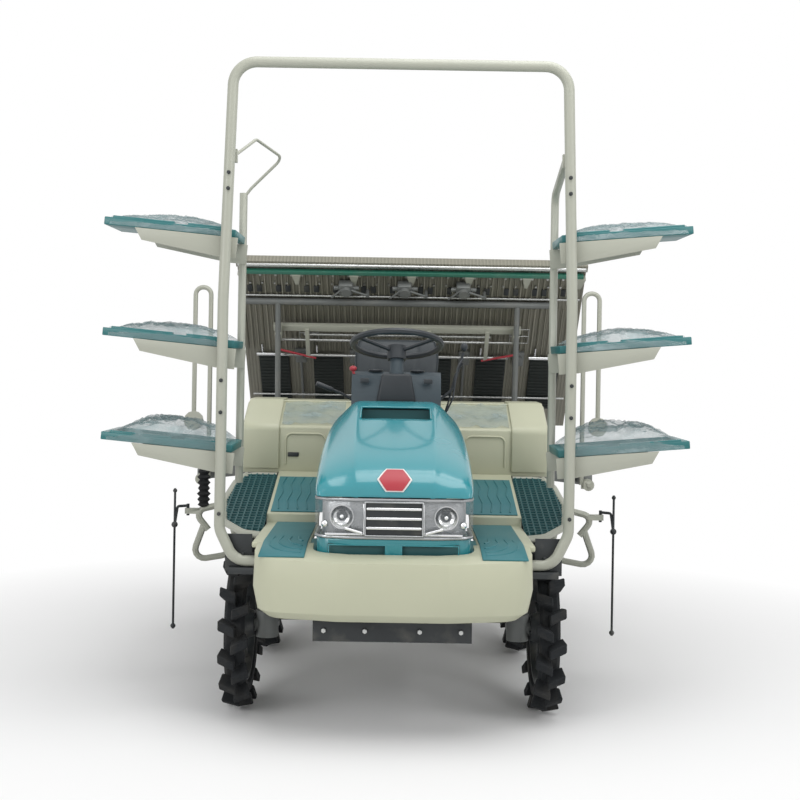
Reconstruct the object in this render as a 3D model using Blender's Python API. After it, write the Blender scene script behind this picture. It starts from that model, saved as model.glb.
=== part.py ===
"""Riding rice transplanter, six rows, standing on its wheels with the planting section lifted.

Metres, +Z up, floor at z = 0.  The front faces -Y.  Distances along Y in this script are
measured from the front axle; the empty `machine` moves them all so that the centre of the
whole length lies at Y = 0.  "right" is the driver's right hand, -X.
"""
import math

import bmesh
import bpy
from mathutils import Matrix, Vector

# ---------------------------------------------------------------- driving dimensions
GAP = 0.0003              # between two solids that rest on each other
WHEELBASE = 1.05
SIDES = (("right", -1), ("left", 1))

# wheels
FRONT_TRACK = 1.20
FRONT_WHEEL_RADIUS = 0.325
FRONT_WHEEL_WIDTH = 0.12
REAR_TRACK = 1.20
REAR_WHEEL_RADIUS = 0.475
REAR_WHEEL_WIDTH = 0.13
HUB_RADIUS = 0.055
HUB_HALF = 0.05           # half length of a wheel hub along the axle
FRONT_STUB = 0.018        # radius of the stub axles
REAR_STUB = 0.020
TURN_GAP = 0.0009         # round a shaft that turns in a bore
KINGPIN_X = 0.50          # half distance between the kingpins
KNUCKLE_TOP = 0.56
KINGPIN_RADIUS = 0.018
BEAM_LOW = 0.38           # underside of the front axle beam
TIE_ROD_Y = 0.13

# chassis
RAIL_X = 0.17             # centre of each chassis rail
RAIL_WIDTH = 0.05
RAIL_BOTTOM = 0.46
RAIL_TOP = 0.54
RAIL_FRONT = -0.48
RAIL_REAR = 1.10
GUARD_BOTTOM = 0.36       # black guard under the nose
OUTRIGGER_TOP = 0.600     # black bar that the hoop's feet are bolted to
PLATE = 0.006             # sheet brackets

# nose, hood and floor
NOSE_HALF = 0.285
NOSE_FRONT = -0.47
NOSE_REAR = -0.20
NOSE_BOTTOM = 0.63
NOSE_WALL = 0.02
LAMP_BOTTOM = 0.735
LAMP_PROUD = 0.010        # how far the lamp band stands out from the nose
HOOD_BOTTOM = 0.885
HOOD_SKIN = 0.006
SCOOP_HALF = 0.145
DASH_Y = 0.31             # front face of the dash
DASH_HALF = 0.19
DASH_TOP = 1.333
FRONT_STEP_TOP = 0.70     # level front step, over the front wheels
FLOOR_Y = 0.20            # the main floor starts here, one riser higher, and slopes up to the rear
FLOOR_LOW = 0.74
FLOOR_HIGH = 0.87
FLOOR_THICK = 0.022
FLOOR_HALF = 0.53
BUMPER_HALF = 0.51
BUMPER_FRONT = -0.60
BUMPER_REAR = -0.34
BUMPER_BOTTOM = 0.45
BUMPER_LIP = 0.665        # height of its top at the very front
BUMPER_WALL = 0.03
BUMPER_CEILING = 0.635    # underside of its top
WHEEL_ROOM = 0.52         # its rear edge is cut back below this height, where the steered wheels swing
MAT_THICK = 0.006
STEP_THICK = 0.022
STEP_RIM = 0.012          # radius of the tube round each outer step

# rear cover and seat
FENDER_HALF = 0.70
FENDER_FRONT = 0.72
FENDER_BOTTOM = 0.86
FENDER_EDGE = 1.07        # top of the upright front face
FENDER_TOP = 1.175
FENDER_REAR = 1.42
FENDER_SKIN = 0.025
SEAT_HALF = 0.225
SEAT_TOP = 1.48           # top of the backrest
WHEEL_TILT = math.radians(16.5)
WHEEL_CENTRE = (0.0, 0.38, 1.452)

# hoop and seedling racks
HOOP_Y = -0.30
HOOP_TOP = 2.50
HOOP_HALF_TOP = 0.63
HOOP_HALF_LOW = 0.657
TUBE_RADIUS = 0.021
HOOP_BEND = 0.09
POST_X = 0.63
POST_RADIUS = 0.016
POST_Y = 0.06
POST_TOP = 2.15
RAIL_ROD = 0.006          # thin rod of the hand rail
RACK_LEVELS = (("lower", 1.025), ("middle", 1.42), ("upper", 1.84))
TRAY_INNER = 0.62         # inner end of each tray
TRAY_OUTER = 1.12
TRAY_FRONT = -0.268
TRAY_REAR = 0.033
TRAY_THICK = 0.03
TRAY_FLOOR = 0.008
TRAY_TILT = math.radians(5)
ARM_DEPTH = 0.078

# stirrups and side markers
STIRRUP_RADIUS = 0.014
STIRRUP_X = 0.865
STIRRUP_Y = 0.40
STIRRUP_TOP = 0.72
MARKER_STEM = 0.0065

# lift linkage and planting section
LINK_Y = 1.16             # pivots on the chassis
LINK_LENGTH = 0.60
LINK_ANGLE = math.radians(22)
LOWER_PIVOT_Z = 0.55
UPPER_PIVOT_Z = 0.80
PIN_RADIUS = 0.014
CHEEK_X = 0.10            # plates that hold the link pins, on the chassis and on the hitch
LOWER_LINK_X = 0.13       # half distance between the bars of each link
UPPER_LINK_X = 0.075
LINK_BOSS = 0.012         # half width of a link's eye
BEAM_Y = (1.78, 1.84)
BEAM_Z = (0.74, 0.80)
BEAM_HALF = 0.88
ROW_SPACING = 0.30
CASE_X = (("right", -0.60), ("center", 0.0), ("left", 0.60))
CASE_HALF = 0.035
ROTOR_Y = 2.22
ROTOR_Z = 0.80
ROTOR_SHAFT = 0.016
FLOAT_HALF = 0.085
FLOAT_BOTTOM = 0.50
FLOAT_FRONT = 1.66
FLOAT_REAR = 2.35
TABLE_HALF = 0.90
TABLE_SHIFT = 0.07        # the table stands this far to the left of the middle
TABLE_TOP = (1.47, 1.88)      # y and z of the upper edge
TABLE_FOOT = (2.30, 1.02)     # y and z of the lower edge
TABLE_THICK = 0.012
ROWS = 6
EDGE_WALL = 0.012         # side walls of the table
EDGE_RISE = 0.05
ROW_WALL = 0.016          # walls between the rows
ROW_RISE = 0.035
RAIL_RADIUS = 0.018       # round rails that the table slides on
UPRIGHT_X = 0.63
MARKER_X = 1.00
MARKER_Y = 1.50
MARKER_Z = 0.75
MARKER_TOP = 1.74
MARKER_PIN = 0.0095

# ---------------------------------------------------------------- scene and materials
for old in list(bpy.data.objects):
    bpy.data.objects.remove(old)

MATERIALS = (
    # name, red, green, blue (linear), roughness, metallic
    ("cream_paint", 0.52, 0.54, 0.40, 0.45, 0.0),
    ("grey_cream_tube", 0.42, 0.43, 0.37, 0.45, 0.0),
    ("teal_gloss", 0.09, 0.40, 0.47, 0.22, 0.0),
    ("teal_rubber", 0.07, 0.29, 0.32, 0.70, 0.0),
    ("teal_dark", 0.026, 0.10, 0.11, 0.60, 0.0),
    ("teal_tray", 0.06, 0.27, 0.28, 0.45, 0.0),
    ("black_rubber", 0.016, 0.021, 0.025, 0.80, 0.0),
    ("black_steel", 0.02, 0.025, 0.026, 0.50, 0.3),
    ("grey_plastic", 0.07, 0.12, 0.14, 0.50, 0.0),
    ("silver", 0.45, 0.46, 0.46, 0.30, 0.8),
    ("lamp_glass", 0.30, 0.33, 0.34, 0.10, 0.2),
    ("cast_grey", 0.18, 0.19, 0.18, 0.55, 0.4),
    ("olive_sheet", 0.19, 0.19, 0.16, 0.50, 0.2),
    ("float_black", 0.03, 0.035, 0.035, 0.55, 0.0),
)


def make_material(name, red, green, blue, roughness, metallic):
    material = bpy.data.materials.new(name)
    material.use_nodes = True
    shader = material.node_tree.nodes["Principled BSDF"]
    shader.inputs["Base Color"].default_value = (red, green, blue, 1.0)
    shader.inputs["Roughness"].default_value = roughness
    shader.inputs["Metallic"].default_value = metallic
    material.diffuse_color = (red, green, blue, 1.0)
    return material


LOOKS = {row[0]: make_material(*row) for row in MATERIALS}

machine = bpy.data.objects.new("machine", None)
bpy.context.collection.objects.link(machine)


# ---------------------------------------------------------------- modelling helpers
def mesh_object(name, body):
    """A new object that holds the bmesh `body`."""
    bmesh.ops.recalc_face_normals(body, faces=body.faces[:])
    mesh = bpy.data.meshes.new(name)
    body.to_mesh(mesh)
    body.free()
    piece = bpy.data.objects.new(name, mesh)
    bpy.context.collection.objects.link(piece)
    return piece


def box(x, y, z, name="box"):
    """A block between the pairs of limits x, y and z."""
    body = bmesh.new()
    bmesh.ops.create_cube(body, size=1.0)
    size = (x[1] - x[0], y[1] - y[0], z[1] - z[0])
    middle = ((x[0] + x[1]) / 2, (y[0] + y[1]) / 2, (z[0] + z[1]) / 2)
    bmesh.ops.scale(body, vec=size, verts=body.verts[:])
    bmesh.ops.translate(body, vec=middle, verts=body.verts[:])
    return mesh_object(name, body)


def rod(start, end, radius, sides=16, name="rod"):
    """A round bar from `start` to `end`."""
    start, end = Vector(start), Vector(end)
    body = bmesh.new()
    bmesh.ops.create_cone(
        body, cap_ends=True, segments=sides, radius1=radius, radius2=radius, depth=(end - start).length
    )
    turn = Vector((0, 0, 1)).rotation_difference(end - start).to_matrix().to_4x4()
    bmesh.ops.transform(body, matrix=Matrix.Translation((start + end) / 2) @ turn, verts=body.verts[:])
    return mesh_object(name, body)


def prism(axis, outline, low, high, name="prism"):
    """The flat `outline` carried along `axis` from `low` to `high`.

    Outline points are (y, z) for axis X, (x, z) for axis Y and (x, y) for axis Z.
    """
    place = {
        "X": lambda a, b, along: (along, a, b),
        "Y": lambda a, b, along: (a, along, b),
        "Z": lambda a, b, along: (a, b, along),
    }[axis]
    body = bmesh.new()
    ring = [body.verts.new(place(a, b, low)) for a, b in outline]
    face = body.faces.new(ring)
    moved = bmesh.ops.extrude_face_region(body, geom=[face])["geom"]
    shift = Vector(place(0, 0, high - low))
    bmesh.ops.translate(body, vec=shift, verts=[v for v in moved if isinstance(v, bmesh.types.BMVert)])
    return mesh_object(name, body)


def lathe(profile, centre, steps, name="lathe"):
    """The closed profile of (x, radius) points turned about the X line through `centre`."""
    body = bmesh.new()
    ring = [body.verts.new((x, 0.0, radius)) for x, radius in profile]
    edges = [body.edges.new((ring[i], ring[(i + 1) % len(ring)])) for i in range(len(ring))]
    bmesh.ops.spin(
        body, geom=ring + edges, cent=(0, 0, 0), axis=(1, 0, 0), angle=math.tau, steps=steps, use_merge=True
    )
    bmesh.ops.remove_doubles(body, verts=body.verts[:], dist=1e-6)
    bmesh.ops.translate(body, vec=centre, verts=body.verts[:])
    return mesh_object(name, body)


def rounded(path, bend, turns=5):
    """The points of `path` with each corner replaced by an arc of radius `bend`."""
    points = [Vector(p) for p in path]
    result = [points[0]]
    for before, corner, after in zip(points, points[1:], points[2:]):
        back = (before - corner).normalized()
        ahead = (after - corner).normalized()
        angle = back.angle(ahead)
        if math.pi - angle < 0.02:
            result.append(corner)
            continue
        reach = bend / math.tan(angle / 2)
        reach = min(reach, (before - corner).length * 0.48, (after - corner).length * 0.48)
        radius = reach * math.tan(angle / 2)
        centre = corner + (back + ahead).normalized() * radius / math.sin(angle / 2)
        first = (corner + back * reach - centre).normalized()
        last = (corner + ahead * reach - centre).normalized()
        for step in range(turns + 1):
            share = step / turns
            result.append(centre + first.slerp(last, share) * radius)
    result.append(points[-1])
    return result


def pipe(path, radius, bend=0.0, turns=5, resolution=2, name="pipe"):
    """A round tube along `path`, closed at both ends."""
    points = rounded(path, bend, turns) if bend else [Vector(p) for p in path]
    curve = bpy.data.curves.new(name, "CURVE")
    curve.dimensions = "3D"
    curve.bevel_depth = radius
    curve.bevel_resolution = resolution
    curve.use_fill_caps = True
    spline = curve.splines.new("POLY")
    spline.points.add(len(points) - 1)
    for knot, point in zip(spline.points, points):
        knot.co = (*point, 1.0)
    guide = bpy.data.objects.new(name, curve)
    bpy.context.collection.objects.link(guide)
    bpy.context.view_layer.update()
    mesh = bpy.data.meshes.new_from_object(guide.evaluated_get(bpy.context.evaluated_depsgraph_get()))
    bpy.data.objects.remove(guide)
    body = bmesh.new()
    body.from_mesh(mesh)
    bpy.data.meshes.remove(mesh)
    bmesh.ops.remove_doubles(body, verts=body.verts[:], dist=1e-6)
    return mesh_object(name, body)


def loft(sections, name="loft"):
    """A closed body through `sections`, each a ring of as many points, capped at both ends."""
    body = bmesh.new()
    rings = [[body.verts.new(point) for point in section] for section in sections]
    count = len(rings[0])
    for near, far in zip(rings, rings[1:]):
        for i in range(count):
            j = (i + 1) % count
            body.faces.new((near[i], near[j], far[j], far[i]))
    body.faces.new(rings[0])
    body.faces.new(rings[-1])
    return mesh_object(name, body)


def apply_modifier(piece, modifier):
    with bpy.context.temp_override(object=piece, active_object=piece, selected_objects=[piece]):
        bpy.ops.object.modifier_apply(modifier=modifier.name)


def combine(target, others, operation):
    """Join `others` to `target` (UNION) or take them away (DIFFERENCE)."""
    for other in others:
        modifier = target.modifiers.new("shape", "BOOLEAN")
        modifier.operation = operation
        modifier.solver = "EXACT"
        modifier.object = other
        apply_modifier(target, modifier)
        bpy.data.objects.remove(other)
    return target


def fuse(first, *others):
    return combine(first, others, "UNION")


def cut(first, *others):
    return combine(first, others, "DIFFERENCE")


def finish(piece, name, look, pivot=(0.0, 0.0, 0.0), parent=None, smooth=True):
    """Name the piece, give it its material and put its origin at `pivot`, under the machine."""
    piece.name = name
    piece.data.name = name
    piece.data.materials.clear()
    piece.data.materials.append(LOOKS[look])
    piece.data.transform(Matrix.Translation(-Vector(pivot)))
    piece.location = pivot
    if smooth:
        piece.data.shade_smooth()
        piece.data.set_sharp_from_angle(angle=math.radians(35))
    piece.parent = machine
    return piece


def mirrored(points, side):
    """(x, y, z) points given for +X, moved to the chosen side."""
    return [(side * x, y, z) for x, y, z in points]


def outset(points, reach):
    """An open run of (x, y) points moved sideways by `reach`, to the right of its direction."""
    vectors = [Vector(p) for p in points]
    moved = []
    for index, point in enumerate(vectors):
        before = vectors[max(index - 1, 0)]
        after = vectors[min(index + 1, len(vectors) - 1)]
        into = (point - before).normalized() if index else (after - point).normalized()
        out = (after - point).normalized() if index < len(vectors) - 1 else into
        bisector = (into + out).normalized()
        sideways = Vector((bisector.y, -bisector.x))
        moved.append(point + sideways * reach / max(bisector.dot(out), 0.3))
    return [(p.x, p.y) for p in moved]


def flat_round(points, bend, turns=4):
    """(x, y) points with rounded corners."""
    return [(p.x, p.y) for p in rounded([(x, y, 0.0) for x, y in points], bend, turns)]


def span(centre, half):
    return (centre - half, centre + half)


def across(side, inner, outer):
    """The limits along X of what lies between `inner` and `outer` on one side."""
    return (inner, outer) if side > 0 else (-outer, -inner)


# ---------------------------------------------------------------- chassis
def chassis():
    height = (RAIL_BOTTOM, RAIL_TOP)
    rails = [box(span(side * RAIL_X, RAIL_WIDTH / 2), (RAIL_FRONT, RAIL_REAR), height) for _, side in SIDES]
    crosses = [
        box((-RAIL_X, RAIL_X), span(y, 0.03), height)
        for y in (RAIL_FRONT + 0.04, 0.64, RAIL_REAR - 0.03)
    ]
    # cheeks at the tail that carry both links
    cheek_y, cheek_z = (RAIL_REAR - 0.05, LINK_Y + 0.035), (RAIL_BOTTOM, UPPER_PIVOT_Z + 0.035)
    cheeks = [box(span(side * CHEEK_X, 0.012), cheek_y, cheek_z) for _, side in SIDES]
    pins = [
        rod((-half, LINK_Y, z), (half, LINK_Y, z), PIN_RADIUS)
        for z, half in ((LOWER_PIVOT_Z, LOWER_LINK_X + 0.02), (UPPER_PIVOT_Z, CHEEK_X + 0.01))
    ]
    # carriers under the nose, the front step, the floor and the rear cover
    nose_y = (NOSE_FRONT + 0.003, NOSE_FRONT + 0.03)
    nose_seat = box((-0.20, 0.20), nose_y, (RAIL_TOP - 0.01, NOSE_BOTTOM - GAP))
    under_bumper, under_step = BUMPER_CEILING - GAP, FRONT_STEP_TOP - FLOOR_THICK - GAP
    seat_outline = (
        (BUMPER_REAR - 0.09, OUTRIGGER_TOP - 0.02), (BUMPER_REAR - 0.09, under_bumper),
        (BUMPER_REAR + 0.005, under_bumper), (BUMPER_REAR + 0.005, under_step), (HOOP_Y + 0.02, under_step),
        (HOOP_Y + 0.02, OUTRIGGER_TOP - 0.02),
    )
    step_seats = [prism("X", seat_outline, *span(side * 0.40, 0.02)) for _, side in SIDES]
    outrigger = box((-0.62, 0.62), span(HOOP_Y, 0.025), (OUTRIGGER_TOP - 0.025, OUTRIGGER_TOP))
    back = HOOP_Y + TUBE_RADIUS + GAP
    foot_plates = [
        box(
            across(side, FLOOR_HALF + 0.005, HOOP_HALF_LOW - 0.02), (back, back + PLATE),
            (OUTRIGGER_TOP - 0.02, 0.72),
        )
        for _, side in SIDES
    ]
    risers = [
        box(span(side * RAIL_X, 0.02), span(HOOP_Y, 0.02), (RAIL_BOTTOM, OUTRIGGER_TOP - 0.01))
        for _, side in SIDES
    ]
    floor_posts = [
        box(span(side * RAIL_X, 0.02), span(0.64, 0.02), (RAIL_BOTTOM, floor_z(0.62) - FLOOR_THICK - 0.001))
        for _, side in SIDES
    ]
    cover_posts = [
        box(span(side * RAIL_X, 0.02), span(1.0, 0.02), (RAIL_BOTTOM, FENDER_TOP - FENDER_SKIN - GAP))
        for _, side in SIDES
    ]
    guard = box((-0.29, 0.29), (-0.46, -0.20), (GUARD_BOTTOM, RAIL_BOTTOM + 0.01))
    frame = fuse(
        *rails, *crosses, *cheeks, *pins, nose_seat, outrigger, *foot_plates, *step_seats, *risers,
        *floor_posts, *cover_posts, guard,
    )
    return finish(frame, "chassis_frame", "black_steel")


def engine():
    block = box((-0.20, 0.20), (-0.22, 0.24), (RAIL_TOP + GAP, 0.96))
    return finish(block, "engine_block", "cast_grey")


def transmission():
    case = box((-0.13, 0.13), (0.26, 0.58), (0.36, 0.66))
    shaft = rod((0, 0.57, 0.42), (0, WHEELBASE - 0.08 - GAP, 0.42), 0.028)
    return finish(fuse(case, shaft), "transmission_case", "cast_grey")


def axles():
    # the front beam runs under the rails to the kingpin housings
    beam = box((-KINGPIN_X + 0.01, KINGPIN_X - 0.01), span(0.0, 0.035), (BEAM_LOW, RAIL_BOTTOM - GAP))
    housings = [rod((side * KINGPIN_X, 0, BEAM_LOW), (side * KINGPIN_X, 0, 0.47), 0.042) for _, side in SIDES]
    bores = [
        rod((side * KINGPIN_X, 0, 0.30), (side * KINGPIN_X, 0, 0.60), KINGPIN_RADIUS + TURN_GAP)
        for _, side in SIDES
    ]
    finish(cut(fuse(beam, *housings), *bores), "front_axle", "cast_grey")

    z = REAR_WHEEL_RADIUS
    hub_inner = REAR_TRACK / 2 - HUB_HALF
    case = box((-0.12, 0.12), span(WHEELBASE, 0.08), (z - 0.12, RAIL_BOTTOM - GAP))
    tube = rod((-hub_inner + 0.03, WHEELBASE, z - 0.06), (hub_inner - 0.03, WHEELBASE, z - 0.06), 0.04)
    ends = []
    for _, side in SIDES:
        face = side * (hub_inner - GAP)
        ends.append(rod((side * (hub_inner - 0.06), WHEELBASE, z), (face, WHEELBASE, z), 0.075))
        tip = side * (REAR_TRACK / 2 + HUB_HALF + 0.01)
        ends.append(rod((side * (hub_inner - 0.03), WHEELBASE, z), (tip, WHEELBASE, z), REAR_STUB))
    finish(fuse(case, tube, *ends), "rear_axle", "cast_grey")


def knuckle(label, side):
    """Kingpin, drop case, stub axle and steering arm of one front wheel."""
    x = side * KINGPIN_X
    z = FRONT_WHEEL_RADIUS
    tip = side * (FRONT_TRACK / 2 + HUB_HALF + 0.01)
    pin = rod((x, 0, z), (x, 0, KNUCKLE_TOP), KINGPIN_RADIUS)
    cap = rod((x, 0, 0.47 + GAP), (x, 0, KNUCKLE_TOP), 0.036)
    drop = rod((x, 0, z - 0.05), (x, 0, BEAM_LOW - GAP), 0.045)
    collar = rod((x, 0, z), (side * (FRONT_TRACK / 2 - HUB_HALF - GAP), 0, z), 0.03)
    stub = rod((x, 0, z), (tip, 0, z), FRONT_STUB)
    arm = box(span(x - side * 0.02, 0.016), (0.02, TIE_ROD_Y + 0.02), (z - 0.035, z - 0.015))
    body = fuse(drop, pin, cap, collar, stub, arm)
    return finish(body, "front_knuckle_" + label, "cast_grey", (x, 0, z))


def tie_rod():
    """Bar between the steering arms; it slides across as the knuckles turn."""
    half = KINGPIN_X - 0.02
    z = FRONT_WHEEL_RADIUS
    bar = rod((-half - 0.012, TIE_ROD_Y, z), (half + 0.012, TIE_ROD_Y, z), 0.011, 12)
    ends = [
        rod((side * half, TIE_ROD_Y, z - 0.015 + GAP), (side * half, TIE_ROD_Y, z + 0.015), 0.014, 12)
        for _, side in SIDES
    ]
    return finish(fuse(bar, *ends), "tie_rod", "black_steel", (0, TIE_ROD_Y, z))


def wheel(name, x, y, radius, width, spokes, lug, stub):
    """A rubber-covered rim with spokes and a bored hub; `radius` reaches the lug tips."""
    centre = Vector((x, y, radius))
    half = width / 2
    rim = lathe(
        (
            (-half, radius - 0.012), (-half + 0.02, radius), (half - 0.02, radius), (half, radius - 0.012),
            (half * 0.45, radius - lug), (-half * 0.45, radius - lug),
        ),
        centre,
        32,
    )
    hub = rod(centre - Vector((HUB_HALF, 0, 0)), centre + Vector((HUB_HALF, 0, 0)), HUB_RADIUS)
    arms = []
    for index in range(spokes):
        turn = Matrix.Rotation(math.tau * index / spokes, 4, "X")
        arm = box((-0.012, 0.012), (-0.02, 0.02), (HUB_RADIUS - 0.02, radius - lug + 0.008))
        arm.data.transform(Matrix.Translation(centre) @ turn)
        arms.append(arm)
    bore = rod(centre - Vector((0.2, 0, 0)), centre + Vector((0.2, 0, 0)), stub + TURN_GAP)
    body = cut(fuse(rim, hub, *arms), bore)
    return finish(body, name, "black_rubber", centre)


# each axle's wheels: name, half track, place along Y, radius, width, spokes, lug height, stub radius
AXLE_WHEELS = (
    ("front_wheel_", FRONT_TRACK / 2, 0.0, FRONT_WHEEL_RADIUS, FRONT_WHEEL_WIDTH, 5, 0.075, FRONT_STUB),
    ("rear_wheel_", REAR_TRACK / 2, WHEELBASE, REAR_WHEEL_RADIUS, REAR_WHEEL_WIDTH, 6, 0.10, REAR_STUB),
)


def wheels():
    for name, half_track, y, radius, width, spokes, lug, stub in AXLE_WHEELS:
        for label, side in SIDES:
            wheel(name + label, side * half_track, y, radius, width, spokes, lug, stub)


# ---------------------------------------------------------------- nose, hood, floor
def arch(y, low, shoulder, crown_half, shoulder_z, crown, steps=6):
    """Points over the hood at one station, from the right foot over the crown to the left foot."""
    points = [(-low, y, HOOD_BOTTOM - 0.02), (-shoulder, y, shoulder_z)]
    for step in range(steps + 1):
        angle = math.pi - math.pi * step / steps
        rise = (crown - shoulder_z) * 0.35 * math.sin(angle)
        points.append((crown_half * math.cos(angle), y, shoulder_z + (crown - shoulder_z) * 0.65 + rise))
    points.append((shoulder, y, shoulder_z))
    points.append((low, y, HOOD_BOTTOM - 0.02))
    return points


def hood():
    # y, half width at foot, half width at shoulder, half width of crown, shoulder height, crown height
    stations = (
        (-0.478, 0.285, 0.280, 0.20, 0.915, 0.925),
        (-0.450, 0.293, 0.285, 0.20, 0.945, 0.970),
        (-0.330, 0.298, 0.288, 0.21, 0.990, 1.030),
        (-0.100, 0.300, 0.288, 0.20, 1.055, 1.105),
        (0.120, 0.297, 0.272, 0.19, 1.125, 1.175),
        (DASH_Y - 0.03, 0.285, 0.235, 0.18, 1.165, 1.214),
    )
    body = bmesh.new()
    rows = [[body.verts.new(point) for point in arch(*station)] for station in stations]
    for near, far in zip(rows, rows[1:]):
        for i in range(len(near) - 1):
            body.faces.new((near[i], near[i + 1], far[i + 1], far[i]))
    body.faces.new(rows[0])
    shell = mesh_object("hood", body)
    skin = shell.modifiers.new("skin", "SOLIDIFY")
    skin.thickness = HOOD_SKIN
    skin.offset = -1.0
    skin.use_even_offset = True
    apply_modifier(shell, skin)
    below = box((-0.5, 0.5), (-0.6, 0.5), (HOOD_BOTTOM - 0.1, HOOD_BOTTOM + GAP))
    scoop = box(span(0.0, SCOOP_HALF), (0.03, 0.17), (1.0, 1.3))
    pivot = (0.0, NOSE_FRONT - 0.02, HOOD_BOTTOM + 0.012)
    return finish(cut(shell, below, scoop), "hood", "teal_gloss", pivot)


def nose_plan(grow):
    """Outline in plan of the nose, standing out by `grow`, from its right rear corner to the left."""
    half, front = NOSE_HALF + grow, NOSE_FRONT - grow
    path = ((-half, NOSE_REAR), (-half, front + 0.03), (-0.16, front), (0.16, front), (half, front + 0.03),
            (half, NOSE_REAR))
    return flat_round(path, 0.06)


def nose_ring(grow, wall):
    return nose_plan(grow) + list(reversed(nose_plan(grow - wall)))


def nose():
    lower = prism("Z", nose_ring(0.0, NOSE_WALL), NOSE_BOTTOM, LAMP_BOTTOM - GAP)
    slots = [
        box(across(side, 0.03, NOSE_HALF - 0.05), (NOSE_FRONT - 0.05, NOSE_FRONT + 0.05), (0.663, 0.713))
        for _, side in SIDES
    ]
    hole = box(span(0.0, 0.011), (NOSE_FRONT - 0.05, NOSE_FRONT + 0.05), (0.650, 0.672))
    finish(cut(lower, *slots, hole), "nose_panel", "teal_gloss")
    band = prism("Z", nose_ring(LAMP_PROUD, NOSE_WALL + LAMP_PROUD), LAMP_BOTTOM, HOOD_BOTTOM)
    finish(band, "lamp_panel", "lamp_glass")


def step_z(y):
    """Height of the front step's top: level over the wheels, falling away over the bumper."""
    fall = (FRONT_STEP_TOP - BUMPER_LIP) / (BUMPER_REAR - BUMPER_FRONT)
    return FRONT_STEP_TOP - max(0.0, BUMPER_REAR - y) * fall


def floor_z(y):
    """Height of the sloping floor at `y`."""
    return FLOOR_LOW + (FLOOR_HIGH - FLOOR_LOW) * (y - FLOOR_Y) / (FENDER_FRONT - FLOOR_Y)


def bumper_plan(inset):
    half = BUMPER_HALF - inset
    path = ((half, BUMPER_REAR), (half, -0.545 + inset), (0.20, BUMPER_FRONT + inset),
            (-0.20, BUMPER_FRONT + inset), (-half, -0.545 + inset), (-half, BUMPER_REAR))
    return flat_round(path, 0.11, 5)


def front_step():
    # inset of the outline and height; None takes the sloping top
    levels = ((0.050, BUMPER_BOTTOM), (0.015, BUMPER_BOTTOM + 0.03), (0.0, 0.56), (0.004, None))
    sections = [
        [(x, y, step_z(y) if z is None else z) for x, y in bumper_plan(inset)] for inset, z in levels
    ]
    shell = loft(sections)
    hollow = ((BUMPER_WALL + 0.04, BUMPER_BOTTOM - 0.1), (BUMPER_WALL, 0.55), (BUMPER_WALL, BUMPER_CEILING))
    inner = [
        [(x, y + (0.1 if y > BUMPER_REAR - 1e-4 else 0.0), z) for x, y in bumper_plan(inset)]
        for inset, z in hollow
    ]
    nose_hole = prism("Z", nose_plan(0.012), 0.5, 0.9)
    wheel_room = box((-0.7, 0.7), (BUMPER_REAR - 0.025, BUMPER_REAR + 0.1), (0.3, WHEEL_ROOM))
    finish(cut(shell, loft(inner), nose_hole, wheel_room), "front_bumper", "cream_paint")


def floor():
    t = FLOOR_THICK
    rear_y = FENDER_FRONT - GAP
    outline = (
        (BUMPER_REAR + GAP, FRONT_STEP_TOP - t), (FLOOR_Y + t, FRONT_STEP_TOP - t),
        (FLOOR_Y + t, floor_z(FLOOR_Y + t) - t), (rear_y, floor_z(rear_y) - t), (rear_y, floor_z(rear_y)),
        (FLOOR_Y, FLOOR_LOW), (FLOOR_Y, FRONT_STEP_TOP), (BUMPER_REAR + GAP, FRONT_STEP_TOP),
    )
    deck = prism("X", outline, -FLOOR_HALF, FLOOR_HALF)
    opening = box(span(0.0, 0.312), (BUMPER_REAR - 0.1, DASH_Y - 0.004), (0.5, 1.0))
    finish(cut(deck, opening), "floor_deck", "cream_paint")
    for label, side in SIDES:
        lie = GAP
        bend = (-0.535, BUMPER_REAR, FLOOR_Y - 0.004)
        under = [(y, step_z(y) + lie) for y in bend]
        over = [(y, step_z(y) + lie + MAT_THICK) for y in reversed(bend)]
        mat = prism("X", under + over, *across(side, NOSE_HALF + 0.035, BUMPER_HALF - 0.025))
        finish(mat, "front_mat_" + label, "teal_rubber")


# outer edge of each step's tread in plan, from the inner front corner round to the inner rear one
STEP_PLAN = (
    (FLOOR_HALF + GAP, 0.0), (0.60, 0.02), (0.69, 0.13), (0.72, 0.35), (0.70, 0.58), (0.66, 0.69),
)


def mesh_steps():
    """Tread of each outer step, lying in the slope of the floor."""
    outline = STEP_PLAN + ((FLOOR_HALF + GAP, 0.69),)
    for label, side in SIDES:
        tread = prism("Z", [(side * x, y) for x, y in outline], 0.0, 1.0)
        for corner in tread.data.vertices:
            corner.co.z = floor_z(corner.co.y) - (STEP_THICK if corner.co.z < 0.5 else 0.0)
        finish(tread, "mesh_step_" + label, "teal_dark")


# ---------------------------------------------------------------- driver's place
def rear_cover():
    s = FENDER_SKIN
    outline = [
        (FENDER_FRONT, FENDER_BOTTOM), (FENDER_FRONT, FENDER_EDGE), (0.95, FENDER_TOP),
        (FENDER_REAR, FENDER_TOP), (FENDER_REAR, FENDER_TOP - s), (0.96, FENDER_TOP - s), (FENDER_FRONT + s, FENDER_EDGE - s / 2),
        (FENDER_FRONT + s, FENDER_BOTTOM),
    ]
    shell = prism("X", outline, -FENDER_HALF, FENDER_HALF)
    return finish(shell, "rear_fender", "cream_paint")


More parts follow.
